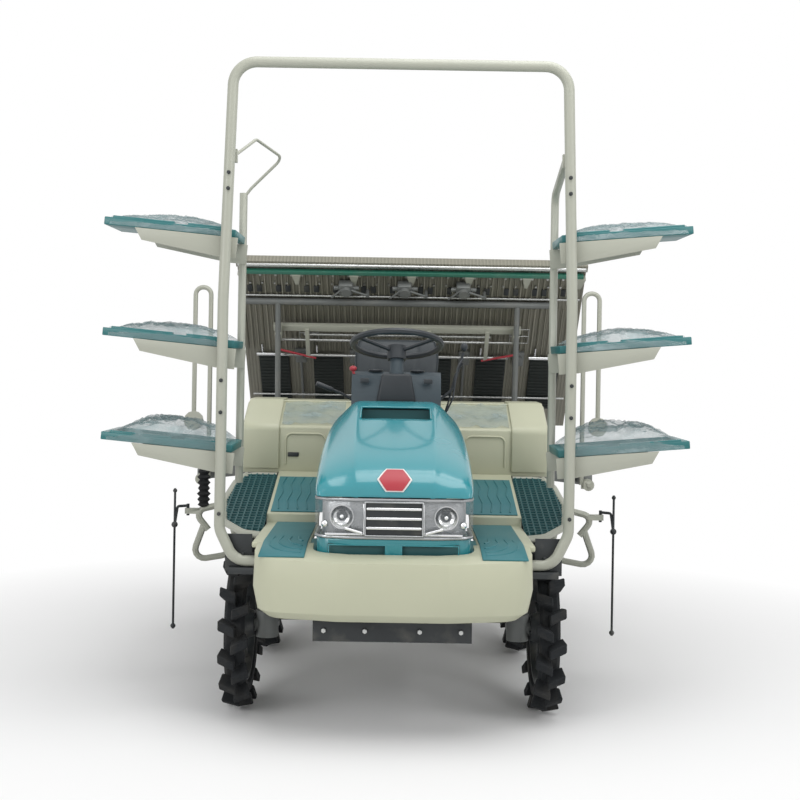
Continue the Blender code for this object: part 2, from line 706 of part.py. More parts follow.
def seat():
    z = FENDER_TOP + GAP
    base = box(span(0.0, 0.16), (0.96, 1.24), (z, z + 0.03))
    cushion = box(span(0.0, SEAT_HALF), (0.90, 1.28), (z + 0.02, z + 0.10))
    back = prism(
        "X", ((1.22, z + 0.06), (1.29, z + 0.06), (1.36, SEAT_TOP), (1.30, SEAT_TOP)), -SEAT_HALF, SEAT_HALF
    )
    return finish(fuse(base, cushion, back), "seat", "grey_plastic")


def dash():
    profile = (
        (DASH_Y, floor_z(DASH_Y) + GAP), (DASH_Y, DASH_TOP - 0.09), (DASH_Y + 0.03, DASH_TOP - 0.015),
        (DASH_Y + 0.08, DASH_TOP), (DASH_Y + 0.20, DASH_TOP - 0.08),
        (DASH_Y + 0.20, floor_z(DASH_Y + 0.20) + GAP),
    )
    console = prism("X", profile, -DASH_HALF, DASH_HALF)
    centre = Vector(WHEEL_CENTRE)
    tilt = Matrix.Rotation(-WHEEL_TILT, 4, "X")
    down = tilt @ Vector((0, 0, -1))
    column = rod(centre + down * 0.19, centre + down * (0.07 + GAP), 0.03)
    finish(fuse(console, column), "dash_console", "grey_plastic")
    ring_radius, grip = 0.19, 0.014
    ring = bmesh.new()
    grip_ring = [ring.verts.new((ring_radius + grip * math.cos(a), 0, grip * math.sin(a)))
                 for a in (math.tau * k / 8 for k in range(8))]
    edges = [ring.edges.new((grip_ring[i], grip_ring[(i + 1) % 8])) for i in range(8)]
    bmesh.ops.spin(ring, geom=grip_ring + edges, cent=(0, 0, 0), axis=(0, 0, 1), angle=math.tau, steps=36,
                   use_merge=True)
    bmesh.ops.remove_doubles(ring, verts=ring.verts[:], dist=1e-6)
    rim = mesh_object("rim", ring)
    hub = rod((0, 0, -0.07), (0, 0, -0.01), 0.04)
    spokes = []
    for index in range(3):
        angle = math.radians(90 + 120 * index)
        reach = (ring_radius * math.cos(angle), ring_radius * math.sin(angle), 0)
        spokes.append(rod((0, 0, -0.035), reach, 0.009, 8))
    wheel_body = fuse(rim, hub, *spokes)
    wheel_body.data.transform(Matrix.Translation(centre) @ tilt)
    finish(wheel_body, "steering_wheel", "black_rubber", centre)


# ---------------------------------------------------------------- hoop, racks, side frames
def hoop():
    half = [
        (0.0, HOOP_Y, HOOP_TOP),
        (HOOP_HALF_TOP, HOOP_Y, HOOP_TOP),
        (HOOP_HALF_LOW, HOOP_Y, 1.60),
        (HOOP_HALF_LOW, HOOP_Y, 0.74),
        (0.60, HOOP_Y, 0.622),
        (0.50, HOOP_Y, 0.622),
    ]
    path = mirrored(reversed(half), -1)[:-1] + half[1:]
    bar = pipe(path, TUBE_RADIUS, HOOP_BEND)
    return finish(bar, "hoop_frame", "grey_cream_tube")


def tray_place(side, z):
    """Turns and moves a piece drawn level at height 0, outward along +X, into a rack's place."""
    to_side = Matrix.Diagonal((side, 1, 1, 1))
    tilt = Matrix.Rotation(-TRAY_TILT, 4, "Y")
    return to_side @ Matrix.Translation((TRAY_INNER, 0, z)) @ tilt


def put(piece, matrix):
    piece.data.transform(matrix)
    if matrix.determinant() < 0:
        piece.data.flip_normals()
    return piece


def racks():
    length = TRAY_OUTER - TRAY_INNER
    arm_outline = (
        (-0.012, -ARM_DEPTH), (0.06, -ARM_DEPTH), (length * 0.70, -0.045), (length * 0.76, -GAP),
        (-0.012, -GAP),
    )
    for label, side in SIDES:
        x = side * POST_X
        top = (x, HOOP_Y + TUBE_RADIUS + PLATE + 0.012, POST_TOP)
        if side > 0:
            solids = [pipe(((x, POST_Y, 0.88), (x, POST_Y, POST_TOP - 0.09), top), POST_RADIUS, 0.06)]
        else:
            solids = [pipe(((x, POST_Y, 0.88), (x, POST_Y, POST_TOP - 0.10)), POST_RADIUS)]
            loop = ((x, POST_Y, POST_TOP - 0.12), (x + 0.03, POST_Y, 2.07), (x + 0.155, POST_Y, 2.195),
                    (x + 0.07, -0.14, 2.235), top)
            solids.append(pipe(loop, RAIL_ROD, 0.03))
        solids.append(
            box(span(x, 0.014), (HOOP_Y + TUBE_RADIUS + GAP, HOOP_Y + TUBE_RADIUS + PLATE + 0.02),
                span(POST_TOP, 0.025))
        )
        for _, z in RACK_LEVELS:
            place = tray_place(side, z)
            front, rear = HOOP_Y + TUBE_RADIUS + GAP, POST_Y - POST_RADIUS + 0.004
            solids.append(put(prism("Y", arm_outline, front, front + PLATE), place))
            solids.append(put(prism("Y", arm_outline, rear - PLATE - 0.004, rear), place))
            for start in (0.07, length * 0.62):
                strip = box((start, start + 0.03), (front + 0.001, rear - 0.005), (-0.026, -2 * GAP))
                solids.append(put(strip, place))
        finish(fuse(*solids), "rack_frame_" + label, "grey_cream_tube")
        for level, z in RACK_LEVELS:
            tray = box((0.0, length), (TRAY_FRONT, TRAY_REAR), (0.0, TRAY_THICK))
            pocket = box((0.05, length - 0.025), (TRAY_FRONT + 0.015, TRAY_REAR - 0.015), (TRAY_FLOOR, 0.1))
            finish(put(cut(tray, pocket), tray_place(side, z)), f"tray_{level}_{label}", "teal_tray")


def side_frames():
    """Boarding stirrup, guard tube and rim round each outer step, and the side marker that they carry."""
    for label, side in SIDES:
        low = floor_z(STIRRUP_Y) - STEP_THICK - STIRRUP_RADIUS * 1.02 - 2 * GAP
        guard = pipe(
            mirrored(
                ((0.35, STIRRUP_Y, low), (0.73, STIRRUP_Y, low), (STIRRUP_X, STIRRUP_Y, STIRRUP_TOP),
                 (0.80, STIRRUP_Y, STIRRUP_TOP - 0.08)), side,
            ),
            STIRRUP_RADIUS, 0.03,
        )
        stirrup = pipe(
            mirrored(
                ((0.82, STIRRUP_Y, 0.66), (STIRRUP_X + 0.01, STIRRUP_Y, 0.505),
                 (0.72, STIRRUP_Y + 0.02, 0.53), (0.69, STIRRUP_Y + 0.04, 0.61), (0.72, STIRRUP_Y, low)), side,
            ),
            STIRRUP_RADIUS, 0.04,
        )
        edge = outset(STEP_PLAN, STEP_RIM + 2 * GAP)
        rim = pipe(mirrored([(x, y, floor_z(y) - STEP_THICK / 2) for x, y in edge], side), STEP_RIM)
        tie = box(
            across(side, edge[3][0] - 0.004, edge[3][0] + 0.012), span(STIRRUP_Y, 0.02),
            (low - 0.004, floor_z(STIRRUP_Y) - STEP_THICK / 2),
        )
        pivot = Vector((side * (STIRRUP_X + STIRRUP_RADIUS + 0.01), STIRRUP_Y, STIRRUP_TOP))
        socket_x = across(side, STIRRUP_X - 0.03, abs(pivot.x) + 0.012)
        socket = box(socket_x, span(STIRRUP_Y, 0.012), span(STIRRUP_TOP, 0.012))
        bore = rod(pivot - Vector((0, 0, 0.05)), pivot + Vector((0, 0, 0.05)), MARKER_STEM + TURN_GAP)
        finish(cut(fuse(guard, stirrup, rim, tie, socket), bore), "side_frame_" + label, "grey_cream_tube")
        elbow = pivot + Vector((side * 0.05, -0.04, -0.055))
        stem = rod(pivot - Vector((0, 0, 0.02)), pivot + Vector((0, 0, 0.03)), MARKER_STEM)
        arm = pipe(
            (pivot + Vector((0, 0, 0.022)), pivot + Vector((side * 0.04, -0.03, 0.022)), elbow), 0.006, 0.01
        )
        ball = bmesh.new()
        bmesh.ops.create_icosphere(ball, subdivisions=2, radius=0.014)
        bmesh.ops.translate(ball, vec=elbow, verts=ball.verts[:])
        needle = rod((elbow.x, elbow.y, 0.22), (elbow.x, elbow.y, 0.82), 0.005, 8)
        body = fuse(needle, mesh_object("ball", ball), arm, stem)
        finish(body, "side_marker_" + label, "black_steel", pivot)


# ---------------------------------------------------------------- lift links
LINK_RISE = LINK_LENGTH * math.sin(LINK_ANGLE)
LINK_RUN = LINK_LENGTH * math.cos(LINK_ANGLE)
HITCH_Y = LINK_Y + LINK_RUN


def links():
    rows = (("lower_link", LOWER_PIVOT_Z, LOWER_LINK_X), ("upper_link", UPPER_PIVOT_Z, UPPER_LINK_X))
    for name, z, x_half in rows:
        start = Vector((0, LINK_Y, z))
        end = Vector((0, HITCH_Y, z + LINK_RISE))
        bars = []
        for side in (-1, 1):
            shift = Vector((side * x_half, 0, 0))
            bars.append(rod(start + shift, end + shift, 0.013))
            for tip in (start, end):
                eye = Vector((LINK_BOSS, 0, 0))
                bars.append(rod(tip + shift - eye, tip + shift + eye, 0.026))
        middle = (start + end) / 2
        bars.append(rod(middle - Vector((x_half, 0, 0)), middle + Vector((x_half, 0, 0)), 0.012))
        reach = Vector((0.3, 0, 0))
        bores = [rod(tip - reach, tip + reach, PIN_RADIUS + TURN_GAP) for tip in (start, end)]
        finish(cut(fuse(*bars), *bores), name, "black_steel", start)


# ---------------------------------------------------------------- planting section
def planter():
    hitch_low = LOWER_PIVOT_Z + LINK_RISE
    hitch_high = UPPER_PIVOT_Z + LINK_RISE
    cheek_z = (min(hitch_low - 0.035, BEAM_Z[0]), hitch_high + 0.035)
    cheeks = [box(span(side * CHEEK_X, 0.012), (HITCH_Y - 0.03, BEAM_Y[1]), cheek_z) for _, side in SIDES]
    pins = [
        rod((-half, HITCH_Y, z), (half, HITCH_Y, z), PIN_RADIUS)
        for z, half in ((hitch_low, LOWER_LINK_X + 0.02), (hitch_high, CHEEK_X + 0.01))
    ]
    beam = box((-BEAM_HALF, BEAM_HALF), BEAM_Y, BEAM_Z)
    solids = [beam, *cheeks, *pins]
    bores = []
    for _, x in CASE_X:
        case_z = (ROTOR_Z - 0.045, ROTOR_Z + 0.035)
        solids.append(box(span(x, CASE_HALF), (BEAM_Y[1] - 0.01, ROTOR_Y), case_z))
        solids.append(rod((x - CASE_HALF, ROTOR_Y, ROTOR_Z), (x + CASE_HALF, ROTOR_Y, ROTOR_Z), 0.045))
        bores.append(rod((x - 0.1, ROTOR_Y, ROTOR_Z), (x + 0.1, ROTOR_Y, ROTOR_Z), ROTOR_SHAFT + TURN_GAP))
    # uprights and the two rails that carry the table
    slope = Vector((0, TABLE_FOOT[0] - TABLE_TOP[0], TABLE_FOOT[1] - TABLE_TOP[1])).normalized()
    behind = Vector((0, slope.z, -slope.y))
    drop = behind * (RAIL_RADIUS + TABLE_THICK + GAP)
    top_rail = Vector((0, *TABLE_TOP)) + slope * 0.25 + drop
    low_rail = Vector((0, *TABLE_FOOT)) - slope * 0.12 + drop
    for rail in (top_rail, low_rail):
        solids.append(rod(rail - Vector((0.80, 0, 0)), rail + Vector((0.80, 0, 0)), RAIL_RADIUS, 24))
    for side in (-1, 1):
        x = side * UPRIGHT_X
        low_y, low_z = BEAM_Y[0] + 0.025, BEAM_Z[0] + 0.03
        knee = (x, low_y - 0.11, 1.15)
        solids.append(pipe(((x, low_y, low_z), knee, (x, top_rail.y, top_rail.z)), 0.015, 0.1))
        solids.append(pipe(((x, low_y + 0.02, low_z), (x, low_rail.y, low_rail.z)), 0.013))
        base = prism(
            "Y",
            [
                (side * (BEAM_HALF - 0.02), BEAM_Z[0]), (side * (MARKER_X + 0.03), BEAM_Z[0] - 0.02),
                (side * (MARKER_X + 0.03), BEAM_Z[1] + 0.02), (side * (BEAM_HALF - 0.02), BEAM_Z[1]),
            ],
            BEAM_Y[0] + 0.002, BEAM_Y[1] - 0.002,
        )
        solids.append(base)
        solids.append(
            box(
                span(side * MARKER_X, 0.026), (MARKER_Y + 0.03, BEAM_Y[1] - 0.004),
                (BEAM_Z[0] + 0.002, BEAM_Z[1] - 0.002),
            )
        )
        pin_start = Vector((side * MARKER_X, MARKER_Y, MARKER_Z))
        bores.append(rod(pin_start, pin_start + Vector((0, 0.13, 0)), MARKER_PIN + TURN_GAP))
    finish(cut(fuse(*solids), *bores), "planter_frame", "cast_grey", (0, HITCH_Y, hitch_low))


def table():
    """Sloping seedling table: a sheet with upright walls between the rows and a rail along its upper edge."""
    top, foot = Vector((0, *TABLE_TOP)), Vector((0, *TABLE_FOOT))
    slope = (foot - top).normalized()
    face = Vector((0, -slope.z, slope.y))
    place = Matrix.Translation(top) @ Matrix(((1, 0, 0), face, slope)).transposed().to_4x4()
    low, high = TABLE_SHIFT - TABLE_HALF, TABLE_SHIFT + TABLE_HALF
    pitch = (high - low - EDGE_WALL) / ROWS
    profile = [(low, -TABLE_THICK), (low, EDGE_RISE), (low + EDGE_WALL, EDGE_RISE)]
    for index in range(1, ROWS):
        wall = span(low + EDGE_WALL / 2 + index * pitch, ROW_WALL / 2)
        profile += [(wall[0], 0.0), (wall[0], ROW_RISE), (wall[1], ROW_RISE), (wall[1], 0.0)]
    profile[3:3] = [(low + EDGE_WALL, 0.0)]
    profile += [(high - EDGE_WALL, 0.0), (high - EDGE_WALL, EDGE_RISE)]
    profile += [(high, EDGE_RISE), (high, -TABLE_THICK)]
    sheet = prism("Z", profile, 0.0, (foot - top).length)
    lip = box((low - 0.004, high + 0.004), (-TABLE_THICK - 0.015, 0.02), (-0.02, 0.02))
    return finish(put(fuse(sheet, lip), place), "seedling_table", "olive_sheet")


def rotors():
    for label, centre in CASE_X:
        shaft = rod((centre - 0.15, ROTOR_Y, ROTOR_Z), (centre + 0.15, ROTOR_Y, ROTOR_Z), ROTOR_SHAFT)
        solids = [shaft]
        for side in (-1, 1):
            x = centre + side * ROW_SPACING / 2
            solids.append(box(span(x, 0.02), span(ROTOR_Y, 0.035), span(ROTOR_Z, 0.11)))
            for end in (-1, 1):
                z = ROTOR_Z + end * 0.10
                head_x = x + side * 0.02
                head = box(span(head_x, 0.022), (ROTOR_Y - 0.03, ROTOR_Y + 0.09), span(z, 0.022))
                claw_y = (ROTOR_Y + 0.085, ROTOR_Y + 0.093)
                claw = box(span(head_x, 0.006), claw_y, span(z - end * 0.02, 0.045))
                solids += [head, claw]
        finish(fuse(*solids), "planting_rotor_" + label, "cast_grey", (centre, ROTOR_Y, ROTOR_Z))


def floats():
    for label, centre in CASE_X:
        front = FLOAT_FRONT
        outline = (
            (front, FLOAT_BOTTOM + 0.06), (front + 0.10, FLOAT_BOTTOM), (FLOAT_REAR - 0.06, FLOAT_BOTTOM),
            (FLOAT_REAR, FLOAT_BOTTOM + 0.03), (FLOAT_REAR - 0.06, FLOAT_BOTTOM + 0.06),
            (front + 0.05, FLOAT_BOTTOM + 0.08),
        )
        board = prism("X", outline, centre - FLOAT_HALF, centre + FLOAT_HALF)
        middle = sum(BEAM_Y) / 2
        post = box(span(centre, 0.012), span(middle, 0.015), (FLOAT_BOTTOM + 0.05, BEAM_Z[0] - GAP))
        finish(fuse(board, post), "float_" + label, "float_black")


def line_markers():
    for label, side in SIDES:
        x = side * MARKER_X
        z = MARKER_Z
        pivot = (x, MARKER_Y, z)
        pin = rod((x, MARKER_Y - 0.03, z), (x, MARKER_Y + 0.12, z), MARKER_PIN)
        boss = rod((x, MARKER_Y - 0.02, z), (x, MARKER_Y + 0.03 - GAP, z), 0.03)
        tube = pipe(
            (
                (x - side * 0.035, MARKER_Y, z), (x - side * 0.035, MARKER_Y, MARKER_TOP),
                (x + side * 0.045, MARKER_Y, MARKER_TOP), (x + side * 0.045, MARKER_Y, 1.08),
            ),
            0.012, 0.038,
        )
        tip = x + side * 0.045
        disc = rod((tip, MARKER_Y - 0.012, 1.05), (tip, MARKER_Y + 0.012, 1.05), 0.05, 12)
        link = box(across(side, MARKER_X - 0.035, MARKER_X), span(MARKER_Y, 0.012), span(z, 0.02))
        finish(fuse(pin, boss, tube, disc, link), "line_marker_" + label, "grey_cream_tube", pivot)


# ---------------------------------------------------------------- build
chassis()
engine()
transmission()
axles()
for name, sign in SIDES:
    knuckle(name, sign)
wheels()
hood()
nose()
tie_rod()
front_step()
floor()
mesh_steps()
rear_cover()
seat()
dash()
hoop()
racks()
side_frames()
links()
planter()
table()
rotors()
floats()
line_markers()
machine.location = (0.0, -(BUMPER_FRONT + FLOAT_REAR) / 2, 0.0)
bpy.context.view_layer.update()
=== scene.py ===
# %% [markdown]
# # A riding rice transplanter
#
# The machine's size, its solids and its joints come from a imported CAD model, loaded first as a fixed
# frame. Everything that follows dresses that frame: rounded panels, lugged tyres, wrinkled plastic film and
# the finish of each material. Every piece is told which moving body carries it, so that it follows when the
# wheels steer, the hood tilts or the planting section comes down.

# %% Load the frame
import math

import bpy
from mathutils import Matrix, Vector, noise


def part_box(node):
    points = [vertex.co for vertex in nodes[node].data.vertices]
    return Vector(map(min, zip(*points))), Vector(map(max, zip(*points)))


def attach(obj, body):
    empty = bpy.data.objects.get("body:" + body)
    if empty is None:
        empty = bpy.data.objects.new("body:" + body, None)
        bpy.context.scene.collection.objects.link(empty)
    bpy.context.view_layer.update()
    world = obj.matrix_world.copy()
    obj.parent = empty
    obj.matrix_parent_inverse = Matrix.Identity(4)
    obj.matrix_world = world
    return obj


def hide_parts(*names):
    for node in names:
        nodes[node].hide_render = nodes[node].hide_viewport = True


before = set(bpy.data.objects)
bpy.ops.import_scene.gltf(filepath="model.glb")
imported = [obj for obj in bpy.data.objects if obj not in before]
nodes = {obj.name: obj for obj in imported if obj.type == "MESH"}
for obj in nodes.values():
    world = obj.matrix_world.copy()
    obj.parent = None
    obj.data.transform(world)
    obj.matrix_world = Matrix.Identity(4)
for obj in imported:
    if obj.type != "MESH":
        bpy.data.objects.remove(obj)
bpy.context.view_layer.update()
SIDES = (("right", -1), ("left", 1))

# %% [markdown]
# ## Places that come from the frame
#
# The CAD model was drawn with the front axle at zero along the machine. The loaded frame is centred on its
# box instead, so one small function turns a distance behind the front axle into a place in the scene.

# %% A place along the machine
AXLE_Y = sum(corner.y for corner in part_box("front_axle")) / 2


def aft(distance):
    """The scene's y at a distance behind the front axle."""
    return AXLE_Y + distance


print("front axle at y", round(AXLE_Y, 3))

# %% [markdown]
# ## Camera
#
# The machine is seen from straight ahead, from a little above its hood, by someone a few paces away. The
# camera comes before the pieces, so that each of them can be judged in the final view while it is made. A
# very small roll keeps the hoop leaning as it does when a camera is held by hand.

# %% Camera
camera_data = bpy.data.cameras.new("camera")
camera_data.sensor_width = 36.0
camera_data.lens = 57.4
camera_data.shift_x = 0.004
camera_data.shift_y = -0.056
camera = bpy.data.objects.new("camera", camera_data)
bpy.context.collection.objects.link(camera)
camera.location = (0.0, aft(-5.1), 1.405)
camera.rotation_euler = (math.radians(90.0), math.radians(-0.95), 0.0)
bpy.context.scene.camera = camera

# %% [markdown]
# ## Light and floor
#
# A large soft lamp overhead and two weaker ones in front give the even light of a yard under a bright sky.
# The world is plain white for the camera and in reflections, but dimmer as a source of light, so that
# the cream paint keeps its colour.

# %% Light and floor
world = bpy.data.worlds.new("sky")
bpy.context.scene.world = world
world.use_nodes = True
sky = world.node_tree
background = sky.nodes["Background"]
rays = sky.nodes.new("ShaderNodeLightPath")
seen = sky.nodes.new("ShaderNodeMath")
seen.operation = "MAXIMUM"
sky.links.new(rays.outputs["Is Camera Ray"], seen.inputs[0])
sky.links.new(rays.outputs["Is Glossy Ray"], seen.inputs[1])
through = sky.nodes.new("ShaderNodeMath")
through.operation = "MAXIMUM"
sky.links.new(seen.outputs[0], through.inputs[0])
sky.links.new(rays.outputs["Is Transmission Ray"], through.inputs[1])
level = sky.nodes.new("ShaderNodeMapRange")
level.inputs["To Min"].default_value = 0.62
level.inputs["To Max"].default_value = 1.0
sky.links.new(through.outputs[0], level.inputs["Value"])
sky.links.new(level.outputs["Result"], background.inputs["Strength"])
background.inputs["Color"].default_value = (1.0, 1.0, 1.0, 1.0)

LAMPS = (
    # name, place, aim, size, power
    ("overhead", (0.6, -1.6, 4.6), (0.0, 0.0, 1.0), 3.2, 95.0),
    ("front_right", (-3.2, -4.4, 2.4), (0.0, -0.6, 1.0), 2.2, 55.0),
    ("front_left", (3.6, -3.6, 2.8), (0.0, -0.4, 1.0), 2.0, 42.0),
)
for name, place, aim, size, power in LAMPS:
    lamp_data = bpy.data.lights.new(name, "AREA")
    lamp_data.size = size
    lamp_data.energy = power
    lamp = bpy.data.objects.new(name, lamp_data)
    bpy.context.collection.objects.link(lamp)
    lamp.location = place
    lamp.rotation_euler = (Vector(aim) - Vector(place)).to_track_quat("-Z", "Y").to_euler()

bpy.context.scene.view_settings.view_transform = "Standard"

# %% [markdown]
# ## Shader sums in plain Python
#
# A material is a graph of nodes, and adding two of its values takes a node of its own. One small class
# holds a socket and lets Python's own signs add those nodes, and one method adds any other node. With them
# a finish reads like a recipe.

# %% Sockets that can be added and multiplied
class Value:
    """A shader value that +, - and * work on."""

    def __init__(self, tree, socket):
        self.tree = tree
        self.socket = socket

    def sum(self, operation, first, second):
        node = self.tree.nodes.new("ShaderNodeMath")
        node.operation = operation
        for slot, value in zip(node.inputs, (first, second)):
            if isinstance(value, Value):
                self.tree.links.new(value.socket, slot)
            else:
                slot.default_value = value
        return Value(self.tree, node.outputs[0])

    def __add__(self, other):
        return self.sum("ADD", self, other)

    __radd__ = __add__

    def __sub__(self, other):
        return self.sum("SUBTRACT", self, other)

    def __rsub__(self, other):
        return self.sum("SUBTRACT", other, self)

    def __mul__(self, other):
        return self.sum("MULTIPLY", self, other)

    __rmul__ = __mul__


class Finish:
    """A new material whose recipe is written with `node`, `noise` and `mix`."""

    def __init__(self, name, colour, roughness, metallic=0.0, coat=0.0, specular=0.5):
        self.material = bpy.data.materials.new(name)
        self.material.use_nodes = True
        self.tree = self.material.node_tree
        self.shader = self.tree.nodes["Principled BSDF"]
        self.colour = (*colour, 1.0)
        self.shader.inputs["Base Color"].default_value = self.colour
        self.shader.inputs["Roughness"].default_value = roughness
        self.shader.inputs["Metallic"].default_value = metallic
        self.shader.inputs["Coat Weight"].default_value = coat
        self.shader.inputs["Coat Roughness"].default_value = 0.08
        self.shader.inputs["Specular IOR Level"].default_value = specular
        self.place = self.node("ShaderNodeTexCoord", {}, {}, "Object")

    def node(self, kind, settings, values, output=0):
        """Add one node: first its settings, then its sockets' values or links."""
        made = self.tree.nodes.new(kind)
        for key, value in settings.items():
            setattr(made, key, value)
        for key, value in values.items():
            if isinstance(value, Value):
                self.tree.links.new(value.socket, made.inputs[key])
            else:
                made.inputs[key].default_value = value
        return Value(self.tree, made.outputs[output])

    def noise(self, scale, detail=3.0, stretch=None):
        place = self.place
        if stretch:
            place = self.node("ShaderNodeMapping", {}, {"Vector": self.place, "Scale": stretch})
        return self.node("ShaderNodeTexNoise", {}, {"Vector": place, "Scale": scale, "Detail": detail})

    def band(self, value, low, high, to_low=0.0, to_high=1.0):
        """Stretch the part of `value` from low to high over a new range, and cut off the rest."""
        values = {"Value": value, "From Min": low, "From Max": high, "To Min": to_low, "To Max": to_high}
        return self.node("ShaderNodeMapRange", {}, values)

    def mix(self, factor, first, second):
        made = self.tree.nodes.new("ShaderNodeMix")
        made.data_type = "RGBA"
        for index, value in ((0, factor), (6, first), (7, second)):
            if isinstance(value, Value):
                self.tree.links.new(value.socket, made.inputs[index])
            elif index:
                made.inputs[index].default_value = (*value[:3], 1.0)
            else:
                made.inputs[index].default_value = value
        return Value(self.tree, made.outputs[2])

    def set(self, socket, value):
        self.tree.links.new(value.socket, self.shader.inputs[socket])

    def bump(self, height, strength, distance):
        values = {"Height": height, "Strength": strength, "Distance": distance}
        self.set("Normal", self.node("ShaderNodeBump", {}, values, "Normal"))


# %% [markdown]
# ## Paint on steel
#
# The tubes, brackets and panels carry sprayed paint. Close up it has a faint orange-peel texture, a little
# unevenness of colour and gloss, and dust in patches. All of the painted finishes share one recipe.

# %% Paint
def paint(name, colour, roughness, dust=0.12, metallic=0.0, peel=0.15, coat=0.0):
    finish = Finish(name, colour, roughness, metallic, coat)
    mottle = finish.noise(5.0, 4.0)
    patches = finish.band(finish.noise(11.0, 6.0), 0.52, 0.75)
    shade = finish.mix(mottle * 0.5, colour, [value * 0.82 for value in colour])
    dusty = [0.5 * value + 0.5 * tone for value, tone in zip(colour, (0.42, 0.39, 0.32))]
    finish.set("Base Color", finish.mix(patches * dust, shade, dusty))
    finish.set("Roughness", finish.band(mottle, 0.3, 0.7, roughness * 0.85, min(1.0, roughness * 1.2)))
    finish.bump(finish.noise(420.0, 2.0), peel, 0.0006)
    return finish.material


CREAM = paint("cream_panel_paint", (0.50, 0.51, 0.375), 0.42, 0.10)
TUBE = paint("cream_tube_paint", (0.40, 0.41, 0.345), 0.38, 0.14, 0.0, 0.04)
BLACK = paint("black_chassis_paint", (0.018, 0.022, 0.024), 0.5, 0.25)
CAST = paint("grey_cast_metal", (0.17, 0.18, 0.175), 0.52, 0.30, 0.35, 0.5)
RED = paint("red_enamel", (0.42, 0.035, 0.05), 0.35, 0.05)
GREEN = paint("green_rail_paint", (0.03, 0.16, 0.11), 0.4, 0.15)
WHITE = paint("white_enamel", (0.75, 0.75, 0.73), 0.35, 0.04)

# %% [markdown]
# ## Moulded plastic and rubber
#
# The hood is glossy coloured plastic under clear lacquer. The seat, dash and trays are matt plastic with a
# moulded grain, and the tyres are rubber that carries dried dust between its lugs.

# %% Plastic and rubber
def moulded(name, colour, roughness, grain=260.0, depth=0.25, coat=0.0, fade=0.15):
    finish = Finish(name, colour, roughness, 0.0, coat)
    drift = finish.noise(3.0, 3.0)
    finish.set(
        "Base Color", finish.mix(drift * fade, colour, [min(1.0, value * 1.35 + 0.01) for value in colour])
    )
    finish.set("Roughness", finish.band(drift, 0.3, 0.7, roughness * 0.9, min(1.0, roughness * 1.15)))
    cells = finish.node("ShaderNodeTexVoronoi", {}, {"Vector": finish.place, "Scale": grain})
    finish.bump(cells, depth, 0.0004)
    return finish.material


def rubber(name, colour, dust):
    finish = Finish(name, colour, 0.82, 0.0, 0.0, 0.3)
    patches = finish.band(finish.noise(9.0, 6.0), 0.45, 0.72)
    fine = finish.noise(160.0, 3.0)
    finish.set("Base Color", finish.mix(patches * dust, colour, (0.11, 0.10, 0.085)))
    finish.set("Roughness", finish.band(fine, 0.3, 0.7, 0.72, 0.92))
    finish.bump(fine, 0.35, 0.0008)
    return finish.material


TEAL = moulded("teal_hood_plastic", (0.024, 0.235, 0.275), 0.24, 900.0, 0.03, 0.55, 0.35)
TEAL_MAT = moulded("teal_mat_rubber", (0.022, 0.150, 0.172), 0.5, 420.0, 0.3, 0.1, 0.3)
TEAL_STEP = moulded("dark_teal_step", (0.012, 0.078, 0.084), 0.5, 420.0, 0.25, 0.0, 0.3)
TEAL_TRAY = moulded("teal_tray_plastic", (0.012, 0.130, 0.135), 0.42, 350.0, 0.2, 0.15, 0.3)
GREY = moulded("grey_seat_vinyl", (0.022, 0.029, 0.034), 0.5, 520.0, 0.4)
DASH = moulded("blue_grey_dash", (0.032, 0.050, 0.062), 0.48, 520.0, 0.35)
GRIP = moulded("black_wheel_grip", (0.02, 0.025, 0.03), 0.45, 480.0, 0.3)
FLOAT = moulded("black_float_plastic", (0.026, 0.03, 0.03), 0.55, 300.0, 0.3)
BELT = moulded("black_feed_belt", (0.016, 0.021, 0.019), 0.7, 200.0, 0.4)
TYRE = rubber("tyre_rubber", (0.014, 0.016, 0.018), 0.30)
HOSE = rubber("hose_rubber", (0.012, 0.013, 0.014), 0.05)

# %% [markdown]
# ## Bright metal, glass and film
#
# Chrome mirrors the white sky, so a little roughness and a few scratches keep it from looking like paint. The
# lamp covers and the packing film are thin and clear, and show mostly as highlights. A mix of a
# transparent shader and a glossy one gives that without any thickness to bend the light.

# %% Chrome, glass and film
def bright(name, colour, roughness):
    finish = Finish(name, colour, roughness, 1.0)
    scratches = finish.noise(60.0, 5.0, (1.0, 9.0, 9.0))
    finish.set("Roughness", finish.band(scratches, 0.35, 0.7, roughness * 0.6, roughness * 1.9))
    finish.bump(scratches, 0.06, 0.0005)
    return finish.material


def clear(name, colour, least, most, scale, roughness=0.12, ripple=0.6):
    """A thin see-through skin whose milky patches and ripples follow one noise."""
    finish = Finish(name, colour, roughness)
    folds = finish.noise(scale, 5.0, (1.0, 1.0, 2.5))
    creases = (folds - 0.5) * (folds - 0.5) * 4.0
    finish.bump(folds + finish.noise(scale * 4.0, 4.0) * 0.4, ripple, 0.006)
    glass = finish.tree.nodes.new("ShaderNodeBsdfTransparent")
    blend = finish.tree.nodes.new("ShaderNodeMixShader")
    cover = finish.band(folds + creases, 0.35, 0.85, least, most)
    finish.tree.links.new(cover.socket, blend.inputs[0])
    finish.tree.links.new(glass.outputs[0], blend.inputs[1])
    finish.tree.links.new(finish.shader.outputs[0], blend.inputs[2])
    out = finish.tree.nodes["Material Output"]
    finish.tree.links.new(blend.outputs[0], out.inputs["Surface"])
    return finish.material


